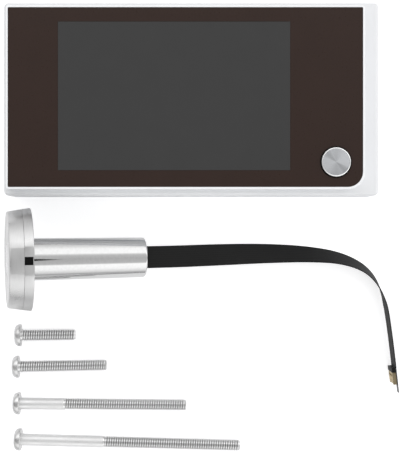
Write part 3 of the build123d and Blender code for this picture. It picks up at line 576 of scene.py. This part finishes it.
class VIEWER_OT_ribbon(bpy.types.Operator):
    """Builds the flat ribbon on its route and the connector on its end"""

    bl_idname = "viewer.ribbon"
    bl_label = "Build ribbon and connector"

    def execute(self, context):
        sizes = context.scene.viewer_ribbon
        camera = context.scene.viewer_camera
        placed = camera_frame()
        along = placed.col[0].xyz
        leave = placed.translation + along * (camera.head_length + camera.barrel_length)
        points = [leave, leave + along * sizes.lead] + [Vector(p) for p in RIBBON_BENDS]
        route = self.smooth_route(points)
        lengths = [0.0]
        for first, second in zip(route, route[1:]):
            lengths.append(lengths[-1] + (second - first).length)
        mesh = self.band(sizes, route, lengths)
        ribbon = piece_of(
            "ribbon", mesh, self.film(sizes), KIT, ["ribbon_cable"]
        )
        pieces = self.connector(sizes, route)
        return {"FINISHED"}

    def smooth_route(self, points):
        """The points of one smooth curve through the route."""
        data = bpy.data.curves.new("ribbon_route", "CURVE")
        data.dimensions = "3D"
        spline = data.splines.new("NURBS")
        spline.points.add(len(points) - 1)
        for point, place in zip(spline.points, points):
            point.co = (*place, 1)
        spline.order_u = 3
        spline.use_endpoint_u = True
        spline.resolution_u = ROUTE_STEPS
        holder = linked("ribbon_route", data)
        line = bpy.data.meshes.new_from_object(holder)
        route = [vertex.co.copy() for vertex in line.vertices]
        bpy.data.objects.remove(holder)
        return route

    def band(self, sizes, route, lengths):
        """A thin band whose twist onto its edge grows, with ridges over its tracks."""
        made = bmesh.new()
        uv_layer = made.loops.layers.uv.new("along")
        across_steps = TRACK_STEPS * sizes.conductors + 2
        shares = [index / across_steps for index in range(across_steps + 1)]
        rings = []
        for index, place in enumerate(route):
            before, after = route[max(index - 1, 0)], route[min(index + 1, len(route) - 1)]
            forward = (after - before).normalized()
            side = Vector((0, 0, 1)).cross(forward).normalized()
            over = forward.cross(side)
            twisted = min(lengths[index] / sizes.twist_length, 1)
            angle = math.radians(90 * twisted ** sizes.twist_power)
            across = side * math.cos(angle) - over * math.sin(angle)
            normal = forward.cross(across)
            ring = []
            for face in (1, -1):
                for share in shares if face > 0 else reversed(shares):
                    half = face * self.half_thickness(sizes, share)
                    offset = across * sizes.width * (share - 0.5) + normal * half
                    ring.append((made.verts.new(place + offset), share))
            rings.append(ring)
        count = len(rings[0])
        for number, (first, second) in enumerate(zip(rings, rings[1:])):
            for index in range(count):
                following = (index + 1) % count
                quad = [first[index], first[following], second[following], second[index]]
                face = made.faces.new([vertex for vertex, _ in quad])
                marks = [lengths[number]] * 2 + [lengths[number + 1]] * 2
                for loop, (_, share), mark in zip(face.loops, quad, marks):
                    loop[uv_layer].uv = (mark, share)
        for ring in (rings[0], rings[-1]):
            made.faces.new([vertex for vertex, _ in ring])
        bmesh.ops.recalc_face_normals(made, faces=made.faces)
        return mesh_of(made, "ribbon")

    def half_thickness(self, sizes, share):
        """Half the ribbon's thickness at a share of its width: thin edges, ridged tracks."""
        ridge = 0.5 - 0.5 * math.cos(2 * math.pi * sizes.conductors * share)
        edge = min(1.0, EDGE_SLOPE * min(share, 1 - share) + EDGE_SHARE)
        return sizes.thickness * edge * (FILM_SHARE + RIDGE_SHARE * ridge)

    def film(self, sizes):
        """Black film with faint lines over the tracks."""
        base = sizes.film
        material, tree, shader = finish_of("ribbon_film", base, 0.5, specular=0.14)
        place = tree.nodes.new("ShaderNodeUVMap")
        place.uv_map = "along"
        across = parts_of(tree, place.outputs["UV"])["Y"]
        lines = maths(tree, "PINGPONG", across, 0.5 / sizes.conductors)
        line = maths(tree, "MULTIPLY", lines, 2 * sizes.conductors)
        tint = ramp_of(tree, line, shaded(base, 0.82), shaded(base, 1.14), 0.1, 0.5)
        tree.links.new(tint, shader.inputs["Base Color"])
        fine = grain_of(tree, 0.0004, 3)
        gloss_of(tree, shader, fine, 0.46, 0.6)
        bump_of(tree, shader, fine, 0.15, 0.00002)
        return material

    def connector(self, sizes, route):
        """The stiffened tail, end piece, plug and contacts at the ribbon's end."""
        forward = (route[-1] - route[-2]).normalized()
        inward = forward.cross(Vector((0, 0, 1))).normalized()
        matrix = Matrix((forward, inward.cross(forward), inward)).transposed().to_4x4()
        matrix.translation = route[-1]
        plug = sizes.plug
        tail = moulded("tail_film", (0.075, 0.075, 0.078), 0.45, 0.0005)
        black = moulded("end_piece_black", (0.008,) * 3, 0.5, 0.0004, specular=0.15)
        tan = moulded("plug_housing", plug, 0.42, 0.0004, variation=0.06)
        gold = plated("contact_plate", (0.75, 0.62, 0.36), 0.25, relief=0.1)
        parts = []
        for name, box, material, nodes, slot in (
            ("connector_tail", TAIL_BOX, tail, ["connector_board"], "stiffener_grey"),
            ("connector_tip", TIP_BOX, tail, [], "stiffener_grey"),
            ("connector_end", END_BOX, black, ["connector_cap"], "key_black"),
        ):
            mesh = block(name, box, matrix, bevel=CONNECTOR_EDGE)
            parts.append(piece_of(name, mesh, material, KIT, nodes))
        grooves = [block("groove", box, matrix) for box in PLUG_GROOVES]
        shell = carved(block("plug", PLUG_BOX, matrix, bevel=PLUG_EDGE), grooves)
        parts.append(piece_of("plug", shell, tan, KIT, ["connector_body"]))
        # Painted shade: the side that faces up on the table gets a darker copy of the plug's colour
        edge = shaded(plug, 0.42)
        shell.materials.append(moulded("plug_painted_shade", edge, 0.5, 0.0004, variation=0.06))
        for face in shell.polygons:
            face.material_index = 1 if face.normal.z > PLUG_SHADE_SLOPE else 0
        mesh = self.contacts(sizes, matrix)
        parts.append(
            piece_of("plug_contacts", mesh, gold, KIT, ["connector_contacts"])
        )
        return parts

    def contacts(self, sizes, matrix):
        """The row of contact strips in the plug."""
        made = bmesh.new()
        corner, size = Vector(CONTACT_CORNER), Vector(CONTACT_SIZE)
        for index in range(sizes.conductors):
            corner.y = CONTACT_SPAN * (index / (sizes.conductors - 1) - 0.5) - size.y / 2
            for vertex in bmesh.ops.create_cube(made, size=1)["verts"]:
                share = vertex.co + Vector((0.5, 0.5, 0.5))
                vertex.co = (corner + share * size) * MM
        return mesh_of(made, "plug_contacts", matrix)


class VIEWER_OT_case(bpy.types.Operator):
    """Dresses the monitor's case, border, panel and window"""

    bl_idname = "viewer.case"
    bl_label = "Dress monitor case"

    def execute(self, context):
        sizes = context.scene.viewer_monitor
        grain = sizes.grain
        case = moulded("case_plastic", sizes.case, 0.42, grain, relief=0.1, variation=0.012)
        back = moulded("back_plastic", sizes.back, 0.55, grain, relief=0.3, variation=0.02)
        border = moulded(
            "border_plastic", sizes.border, 0.2, grain, relief=0.02, variation=0.01, coat=0.3
        )
        panel = moulded(
            "panel_print", sizes.panel, 0.3, grain / 2, relief=0.02, variation=0.04, specular=0.3
        )
        window = moulded(
            "window_tint", sizes.window, 0.22, grain / 2, relief=0.01, variation=0.02, specular=0.3
        )
        dress(case, "case_grey", "front_case")
        dress(back, "case_back", "rear_cover", "battery_cover")
        dress(border, "bezel_white", "bezel")
        dress(panel, "panel_brown", "front_panel")
        dress(window, "window_dark", "screen_window")
        return {"FINISHED"}


class VIEWER_OT_button(bpy.types.Operator):
    """Builds the turned metal button"""

    bl_idname = "viewer.button"
    bl_label = "Build button"

    def execute(self, context):
        sizes = context.scene.viewer_monitor
        low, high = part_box("view_button")
        middle = (low + high) / 2
        top = high.z
        depth = (top - low.z) / MM
        outline = [tuple(point) for point in softened(BUTTON_TOP, BUTTON_ROUNDING, 5)]
        outline += BUTTON_COLLAR
        outline += [(BUTTON_COLLAR[-1][0], BUTTON_STEM), (depth, BUTTON_STEM), (depth, 0.0)]
        # A shallow dish inside the rim, as it is turned
        for index, (along, radius) in enumerate(outline):
            if radius < DISH_RADIUS and along < FACE_DEPTH:
                outline[index] = (along + DISH_DEPTH, radius)
        matrix = Matrix(((0, 0, 1), (0, 1, 0), (-1, 0, 0))).to_4x4()
        matrix.translation = Vector((middle.x, middle.y, top))
        mesh = turned("button", outline, matrix, 128)
        piece_of(
            "button", mesh, self.turned_metal(sizes, middle), "view_button", ["view_button"],
        )
        # Black below the face and outside the rim: partly a black flange, partly painted shade in
        # the gap round the button
        mesh.materials.append(moulded("button_skirt_gap_shade", JET, 0.6, 0.0004))
        # The rim's plate is lighter than the face: partly its own finish, partly a painted
        # highlight
        mesh.materials.append(plated("button_rim_highlight", (0.82,) * 3, 0.36, relief=0.02))
        for face in mesh.polygons:
            reach = (face.center - middle).xy.length
            if face.center.z < top - SKIRT_FROM * MM or reach > RIM_TO * MM:
                face.material_index = 1
            elif reach > RIM_FROM * MM:
                face.material_index = 2
        return {"FINISHED"}

    def turned_metal(self, sizes, middle):
        """Metal with fine rings round the button's middle, and painted reflection sectors."""
        base = sizes.button
        material, tree, shader = finish_of("button_metal", base, 0.32, metal=1.0, anisotropy=0.9)
        mapping = tree.nodes.new("ShaderNodeMapping")
        mapping.inputs["Location"].default_value = (-middle.x, -middle.y, 0)
        rings = tree.nodes.new("ShaderNodeTexWave")
        rings.wave_type = "RINGS"
        rings.rings_direction = "Z"
        # The texture has one ring for each RINGS_SCALE over its scale
        rings.inputs["Scale"].default_value = RINGS_SCALE / sizes.button_ring
        rings.inputs["Distortion"].default_value = 0.6
        rings.inputs["Detail"].default_value = 2
        tree.links.new(own_place(tree), mapping.inputs["Vector"])
        centred = mapping.outputs["Vector"]
        tree.links.new(centred, rings.inputs["Vector"])
        tint = ramp_of(tree, rings.outputs["Fac"], shaded(base, 0.84), shaded(base, 1.06), 0.2, 0.8)
        # Painted reflection: two soft darker sectors across the face
        tree.links.new(self.painted_reflection_fans(tree, centred, tint), shader.inputs["Base Color"])
        bump_of(tree, shader, rings.outputs["Fac"], 0.25, 0.00001)
        tangent = tree.nodes.new("ShaderNodeTangent")
        tangent.direction_type = "RADIAL"
        tangent.axis = "Z"
        tree.links.new(tangent.outputs["Tangent"], shader.inputs["Tangent"])
        return material

    def painted_reflection_fans(self, tree, centred, tint):
        """The tint darkened in two soft fan-shaped sectors: a painted reflection, as a turned face
        mirrors its surroundings.
        """
        place = parts_of(tree, centred)
        angle = maths(tree, "ARCTAN2", place["Y"], place["X"])
        doubled = maths(tree, "MULTIPLY_ADD", angle, 2.0, math.radians(PAINTED_FAN_TURN))
        wave = maths(tree, "COSINE", doubled)
        shade = ramp_of(tree, wave, (1.0,) * 3, (0.74,) * 3, 0.72, 1.0)
        mixed = tree.nodes.new("ShaderNodeMix")
        mixed.data_type = "RGBA"
        mixed.blend_type = "MULTIPLY"
        mixed.inputs["Factor"].default_value = 1.0
        # Sockets 6 and 7 are the colours A and B, and output 2 is the colour
        tree.links.new(tint, mixed.inputs[6])
        tree.links.new(shade, mixed.inputs[7])
        return mixed.outputs[2]


class VIEWER_OT_head(bpy.types.Operator):
    """Builds the outdoor camera's chrome head and barrel, and its lens"""

    bl_idname = "viewer.head"
    bl_label = "Build outdoor camera"

    def execute(self, context):
        sizes = context.scene.viewer_camera
        matrix = camera_frame()
        rear, cap = sizes.head_length / MM, sizes.cap_length / MM
        radius, front = sizes.head_radius / MM, sizes.front_radius / MM
        flare = (radius - front) / (rear - HEAD_EDGE)
        chrome = plated("polished_chrome", sizes.chrome, 0.07, relief=0.02)
        self.barrel(sizes, matrix, chrome)
        brushed = plated(
            "brushed_chrome", sizes.chrome, 0.36, brushed=(18, 1, 1), scratch=0.004,
            relief=0.2,
        )
        self.rear_ring(matrix, brushed, rear, cap, front, flare)
        self.front_ring(matrix, brushed, cap, front, flare)
        self.dress_inside(sizes, matrix)
        return {"FINISHED"}

    def barrel(self, sizes, matrix, chrome):
        """The bored barrel, with the ribbon's slot and two screw holes in its end."""
        radius = sizes.barrel_radius / MM
        end = (sizes.head_length + sizes.barrel_length) / MM
        rear = sizes.head_length / MM + SPIGOT_PAST_HEAD
        inner = end - END_BLOCK
        outline = [(inner, 0), (inner, BORE), (HUB_FRONT, BORE), (HUB_FRONT, SPIGOT)]
        rim = [(rear, radius), (end, radius * END_SHARE), (end, 0)]
        outline += [(rear, SPIGOT), *softened(rim, [END_ROUNDING], 8)]
        wide, high = (size / 2 for size in RIBBON_SLOT)
        slot = ((inner - OVERRUN / 2, -wide, -high), (end + 2 * OVERRUN, wide, high))
        cuts = [block("slot", slot, matrix)]
        for side in (-HOLE_SPACING / 2, HOLE_SPACING / 2):
            deep, past = end - HOLE_DEPTH, end + OVERRUN
            hole = [(deep, 0), (deep, HOLE_RADIUS), (past, HOLE_RADIUS), (past, 0)]
            moved = matrix @ Matrix.Translation((0, 0, side * MM))
            cuts.append(turned("hole", hole, moved, 32))
        mesh = carved(turned("camera_barrel", outline, matrix), cuts)
        piece_of("camera_barrel", mesh, chrome, KIT, ["camera_body"])

    def rear_ring(self, matrix, chrome, rear, cap, front, flare):
        """The rear ring with its hub, its milled flat and the key's slot."""
        outline = [(rear, RING_BORE), (HUB_FRONT, RING_BORE), (HUB_FRONT, HUB_RADIUS)]
        rim = [(cap, HUB_RADIUS), (cap, front + flare * cap)]
        rim += [(rear, front + flare * rear), (rear, RING_BORE)]
        outline += softened(rim, [JOINT_ROUNDING, RING_ROUNDING], 6)
        half = KEY_WIDTH / 2
        key = ((cap - SLIVER, -half, KEY_BOTTOM), (rear + OVERRUN, half, KEY_TOP))
        depth = FLAT_DEPTH + FLAT_STEP
        cuts = [
            self.flat(matrix, front, flare, cap - OVERRUN, rear + OVERRUN, depth),
            block("key", key, matrix),
        ]
        mesh = carved(turned("camera_ring", outline, matrix), cuts)
        piece_of("camera_ring", mesh, chrome, KIT, ["camera_flange"])

    def front_ring(self, matrix, chrome, cap, front, flare):
        """The front ring with its milled flat and the lens window's seat."""
        back, inside = cap - JOINT_GAP, front - CAP_SKIRT
        rim = [(0, 0), (0, front), (back, front + flare * cap), (back, inside)]
        outline = softened(rim, [CAP_ROUNDING, JOINT_ROUNDING], 6)
        outline += [(CAP_WALL, inside), (CAP_WALL, 0)]
        past = CAP_WALL + SLIVER
        seat = [(-OVERRUN, 0), (-OVERRUN, PANE_SEAT), (past, PANE_SEAT), (past, 0)]
        cuts = [
            turned("pane", seat, matrix, 96),
            self.flat(matrix, front, flare, FLAT_START, cap + OVERRUN, FLAT_DEPTH),
        ]
        mesh = carved(turned("camera_front", outline, matrix), cuts)
        piece_of("camera_front", mesh, chrome, KIT, ["camera_cap"])

    def flat(self, matrix, front, flare, start, stop, depth):
        """What the milled flat takes off the head, level with its cone."""
        seat = Matrix.Translation(Vector((start, 0, front + flare * start - depth)) * MM)
        tilted = matrix @ seat @ Matrix.Rotation(-math.atan(flare), 4, "Y")
        box = ((0, -FLAT_WIDTH / 2, 0), (stop - start, FLAT_WIDTH / 2, FLAT_HEIGHT))
        return block("flat", box, tilted)

    def dress_inside(self, sizes, matrix):
        """Builds the lens window, and dresses the key and what is behind the window."""
        base = sizes.lens
        lens, tree, shader = finish_of("lens_coating", base, 0.04, specular=0.8, coat=0.6)
        # Painted reflection: the coating's colour turns purple where it faces away from the view,
        # as its reflection does
        painted_sheen = tree.nodes.new("ShaderNodeLayerWeight")
        painted_sheen.inputs["Blend"].default_value = 0.4
        tint = ramp_of(tree, painted_sheen.outputs["Facing"], base, (0.10, 0.05, 0.16), 0.1, 0.9)
        tree.links.new(tint, shader.inputs["Base Color"])
        shader.inputs["Transmission Weight"].default_value = 0.35
        pane = [
            (PANE_SINK, 0), (PANE_SINK, PANE_RADIUS - PANE_EDGE),
            (PANE_SINK + PANE_EDGE, PANE_RADIUS), (PANE_DEPTH, PANE_RADIUS), (PANE_DEPTH, 0),
        ]
        mesh = turned("lens_pane", pane, matrix, 96)
        piece_of("lens_pane", mesh, lens, KIT, ["lens_window"])
        dress(lens, "lens_clear", "lens_glass")
        black = moulded("lens_holder", (0.012,) * 3, 0.6, 0.0003)
        dress(black, "lens_black", "lens_barrel")
        insert = moulded("key_insert", JET, 0.7, 0.0003, specular=0.1)
        dress(insert, "key_black", "camera_key")
        dress(board("camera_board", (0.02, 0.11, 0.05)), "board_green", "sensor_board")
        dress(black, "chip_black", "sensor_chip")
        film = moulded("inner_film", (0.02,) * 3, 0.5, 0.0004)
        dress(film, "ribbon_black", "inner_ribbon")


class VIEWER_OT_screws(bpy.types.Operator):
    """Builds the four loose machine screws with their threads and cross recesses"""

    bl_idname = "viewer.screws"
    bl_label = "Build loose screws"

    def execute(self, context):
        sizes = context.scene.viewer_screws
        # Copies of one zinc: the head's is darker and the roots' much darker as painted shade, the
        # plain shank's lighter as painted light
        head, thread, root, shank = (
            plated(name, shaded(sizes.zinc, factor), roughness, scratch=0.0004, relief=0.08)
            for name, factor, roughness in (
                ("head_zinc_shaded", 0.86, 0.26), ("thread_zinc", 1, 0.2), ("thread_root_shade", 0.6, 0.4),
                ("shank_zinc_lit", 1.05, 0.48),
            )
        )
        dress(head, "screw_zinc", "case_screws")
        for node, reach, plain, place, turn in SCREWS:
            end = sizes.head_height + reach
            tip = end - TIP_REST * MM
            matrix = lying(place, turn, sizes.head_height, sizes.head_radius, tip, sizes.radius)
            piece = self.head(sizes, node, plain, matrix, head, shank)
            start = sizes.head_height + plain
            shaft = self.thread(sizes, node, start, end, matrix, thread, root)
            shaft.parent = piece
        return {"FINISHED"}

    def head(self, sizes, node, plain, matrix, bright, pale):
        """The pan head with its cross recess, and the plain shank below it."""
        head, height = sizes.head_radius / MM, sizes.head_height / MM
        shank = sizes.radius / MM - SHANK_GAP
        outline = []
        for index in range(DOME_STEPS + 1):
            angle = math.radians(90 * index / DOME_STEPS)
            down = (height - DOME_RIM) * (1 - math.cos(angle))
            outline.append((down, head * math.sin(angle) ** DOME_POWER))
        outline += [(height - DOME_EDGE, head), (height, head - DOME_EDGE)]
        neck = height + max(plain / MM, NECK)
        outline += [(height, shank), (neck, shank), (neck, 0)]
        cuts = []
        for wide, high in ((CROSS_WIDE, CROSS_NARROW), (CROSS_NARROW, CROSS_WIDE)):
            box = ((-OVERRUN, -wide, -high), (CROSS_DEEP, wide, high))
            cuts.append(block("cross", box, matrix, taper=CROSS_TAPER))
        mesh = carved(turned(node + "_head", outline, matrix, 64), cuts)
        # The head gets a darker copy of the zinc and the plain shank a lighter one: painted shade
        # and painted light
        piece = piece_of(node + "_head", mesh, bright, KIT)
        mesh.materials.append(pale)
        for face in mesh.polygons:
            along = (face.center - matrix.translation).dot(matrix.col[0].xyz)
            face.material_index = 1 if along > (height + SHANK_FROM) * MM else 0
        return piece

    def thread(self, sizes, node, start, end, matrix, crests, roots):
        """The threaded piece, with painted shade in its roots."""
        mesh = self.helix(sizes, node, start, end, matrix)
        marks = [face.material_index for face in mesh.polygons]
        shaft = piece_of(
            node + "_thread", mesh, crests, KIT, [node], sharp=THREAD_SHARP
        )
        mesh.materials.append(roots)
        for face, mark in zip(mesh.polygons, marks):
            face.material_index = mark
        return shaft

    def helix(self, sizes, name, start, end, matrix):
        """A helical thread from the plain shank to the chamfered tip."""
        pitch, crest = sizes.pitch, sizes.radius
        deep = THREAD_DEPTH * pitch
        run_in, tip_length = RUN_IN * MM, TIP_LENGTH * MM
        step = pitch / THREAD_STEPS
        places = [start]
        while places[-1] + step < end:
            places.append(places[-1] + step)
        places.append(end)
        made = bmesh.new()
        rings = []
        for place in places:
            tip = min(1.0, max(0.0, (end - place) / tip_length))
            run = min(1.0, max(0.0, (place - start) / run_in))
            limit = crest - (1 - tip) * TIP_DEPTH * MM
            ring = []
            for index in range(THREAD_SEGMENTS):
                share = index / THREAD_SEGMENTS
                turn = (place / pitch - share) % 1.0
                flank = FLANK_SLOPE * (1 - abs(2 * turn - 1)) - FLANK_SINK
                wave = min(1.0, max(0.0, flank))
                radius = min(crest - deep * (1 - wave) * run, limit)
                angle = 2 * math.pi * share
                corner = (place, radius * math.sin(angle), radius * math.cos(angle))
                ring.append(made.verts.new(corner))
            rings.append(ring)
        # Faces deep in the thread's roots get the darker copy of the zinc: painted shade
        low = crest - ROOT_SHADE_DEPTH * deep
        for first, second in zip(rings, rings[1:]):
            for index in range(THREAD_SEGMENTS):
                following = (index + 1) % THREAD_SEGMENTS
                corners = (first[index], first[following], second[following], second[index])
                face = made.faces.new(corners)
                reach = sum(corner.co.yz.length for corner in corners) / 4
                inside = start + run_in < first[index].co.x < end - tip_length
                face.material_index = 1 if inside and reach < low else 0
        for ring in (rings[0], rings[-1]):
            made.faces.new(ring)
        bmesh.ops.recalc_face_normals(made, faces=made.faces)
        return mesh_of(made, name + "_thread", matrix)


class VIEWER_OT_inside(bpy.types.Operator):
    """Dresses the wall bracket and what is inside the monitor"""

    bl_idname = "viewer.inside"
    bl_label = "Dress bracket and inside"

    def execute(self, context):
        sheet = plated("bracket_zinc", (0.60, 0.61, 0.62), 0.34, brushed=(1, 14, 14), scratch=0.004)
        dress(sheet, "bracket_steel", "wall_bracket")
        steel = plated("thin_plate", (0.66, 0.67, 0.68), 0.3, brushed=(1, 10, 10), scratch=0.003)
        dress(steel, "plated_steel", "display_frame")
        spring = plated("spring_plate", (0.72, 0.71, 0.69), 0.25)
        dress(spring, "spring_steel", "battery_contacts", "battery_springs")
        green = board("main_board_mask", (0.02, 0.10, 0.045))
        dress(green, "board_green", "main_board", "button_board")
        chips = moulded("chip_mould", (0.012,) * 3, 0.5, 0.0003)
        dress(chips, "chip_black", "board_chips")
        dress(chips, "switch_black", "button_switch")
        for node, slot, name, base, roughness, grain in (
            ("ribbon_socket", "socket_white", "socket_mould", (0.60, 0.56, 0.47), 0.5, 0.0004),
            ("battery_tray", "tray_grey", "tray_mould", (0.45, 0.46, 0.49), 0.5, 0.0006),
            ("battery_cells", "cell_jacket", "cell_jacket", (0.07, 0.08, 0.09), 0.3, 0.0008),
            ("display_panel", "lcd_glass", "display_glass", (0.01, 0.012, 0.014), 0.1, 0.0008),
            ("backlight", "backlight_white", "light_guide", (0.8, 0.8, 0.78), 0.3, 0.001),
        ):
            dress(moulded(name, base, roughness, grain), slot, node)
        return {"FINISHED"}


class VIEWER_OT_stage(bpy.types.Operator):
    """Adds the table, the light tent, its black card and the lamp"""

    bl_idname = "viewer.stage"
    bl_label = "Add stage"

    def execute(self, context):
        context.scene.view_settings.view_transform = "Standard"
        self.table(context)
        self.card()
        self.tent(context)
        lamp = bpy.data.lights.new("soft_lamp", "AREA")
        lamp.shape = "RECTANGLE"
        lamp.size, lamp.size_y = LAMP_SIZE
        lamp.energy = LAMP_ENERGY
        holder = linked("soft_lamp", lamp)
        holder.location = LAMP_PLACE
        aim = Vector(LAMP_AIM) - holder.location
        holder.rotation_euler = aim.to_track_quat("-Z", "Y").to_euler()
        return {"FINISHED"}

    def table(self, context):
        """A wide pale table that keeps a faint shadow, with a painted pool of light round the kit.
        """
        made = bmesh.new()
        bmesh.ops.create_grid(made, x_segments=4, y_segments=4, size=TABLE_SIZE)
        mesh = mesh_of(made, "table")
        floor = linked("table", mesh)
        floor.location.z = -TABLE_DROP
        base = context.scene.viewer_stage.table
        material, tree, shader = finish_of("table_white", base, 0.9, specular=0.0)
        reach = tree.nodes.new("ShaderNodeVectorMath")
        reach.operation = "LENGTH"
        tree.links.new(own_place(tree), reach.inputs[0])
        # Painted shade: the table's colour darkens away from the kit, so that far reflections are
        # darker
        far = spread(tree, reach.outputs["Value"], NEAR_TABLE, FAR_TABLE)
        painted_far_shade = ramp_of(tree, far, base, shaded(base, FAR_SHADE), 0.0, 1.0)
        tree.links.new(painted_far_shade, shader.inputs["Base Color"])
        # Seen by the camera it is white. In polished metal it glows round the kit, a painted pool
        # of light that fades with distance.
        near = spread(tree, far, 0.0, 1.0, MIRRORED_LIFT, 0.0)
        path = tree.nodes.new("ShaderNodeLightPath").outputs
        mirrored = maths(tree, "MULTIPLY", path["Is Glossy Ray"], near)
        lift = maths(tree, "MULTIPLY_ADD", path["Is Camera Ray"], SEEN_LIFT, mirrored)
        tree.links.new(lift, shader.inputs["Emission Strength"])
        shader.inputs["Emission Color"].default_value = (1, 1, 1, 1)
        mesh.materials.append(material)

    def card(self):
        """A small black card above the picture's camera, which the barrel mirrors."""
        mesh = bpy.data.meshes.new("black_card")
        mesh.from_pydata(CARD_CORNERS, [], [(0, 1, 2)])
        linked("black_card", mesh)
        mesh.materials.append(finish_of("card_black", (0, 0, 0), 1.0, specular=0.0)[0])

    def tent(self, context):
        """A light tent: bright sides, a darker strip overhead and a darker horizon."""
        world = bpy.data.worlds.new("light_tent")
        context.scene.world = world
        world.use_nodes = True
        tree = world.node_tree
        shade = tree.nodes["Background"]
        place = tree.nodes.new("ShaderNodeTexCoord").outputs["Generated"]
        split = parts_of(tree, place)
        slope = maths(tree, "ARCTAN2", split["Y"], split["Z"])
        side = maths(tree, "MULTIPLY_ADD", split["X"], TENT_LEAN, 1.0)
        tree.links.new(side, shade.inputs["Strength"])
        ramp = tree.nodes.new("ShaderNodeValToRGB")
        elements = ramp.color_ramp.elements
        while len(elements) < len(TENT_STOPS):
            elements.new(0.5)
        for element, (position, grey) in zip(elements, TENT_STOPS):
            element.position = position
            element.color = (grey, grey, grey, 1)
        share = spread(tree, slope, -math.pi / 2, math.pi / 2)
        tree.links.new(share, ramp.inputs["Fac"])
        tree.links.new(ramp.outputs["Color"], shade.inputs["Color"])


class VIEWER_PT_kit(bpy.types.Panel):
    bl_label = "Viewer Kit"
    bl_idname = "VIEWER_PT_kit"
    bl_space_type = "VIEW_3D"
    bl_region_type = "UI"
    bl_category = "Viewer Kit"

    def draw(self, context):
        for step in STEPS:
            self.layout.operator(step.bl_idname)
        for name, group in SETTINGS.items():
            box = self.layout.box()
            settings = getattr(context.scene, name)
            for prop in group.__annotations__:
                box.prop(settings, prop)


STEPS = [
    VIEWER_OT_camera,
    VIEWER_OT_ribbon,
    VIEWER_OT_case,
    VIEWER_OT_button,
    VIEWER_OT_head,
    VIEWER_OT_screws,
    VIEWER_OT_inside,
    VIEWER_OT_stage,
]
CLASSES = [*SETTINGS.values(), *STEPS, VIEWER_PT_kit]


def register():
    """Registers the classes and gives the scene its settings."""
    for thing in CLASSES:
        bpy.utils.register_class(thing)
    for name, group in SETTINGS.items():
        setattr(bpy.types.Scene, name, PointerProperty(type=group))


def unregister():
    """Takes the settings and the classes away again."""
    for name in SETTINGS:
        delattr(bpy.types.Scene, name)
    for thing in reversed(CLASSES):
        bpy.utils.unregister_class(thing)


def main():
    register()
    bpy.ops.viewer.camera()
    bpy.ops.viewer.ribbon()
    bpy.ops.viewer.case()
    bpy.ops.viewer.button()
    bpy.ops.viewer.head()
    bpy.ops.viewer.screws()
    bpy.ops.viewer.inside()
    bpy.ops.viewer.stage()


if __name__ == "__main__":
    main()
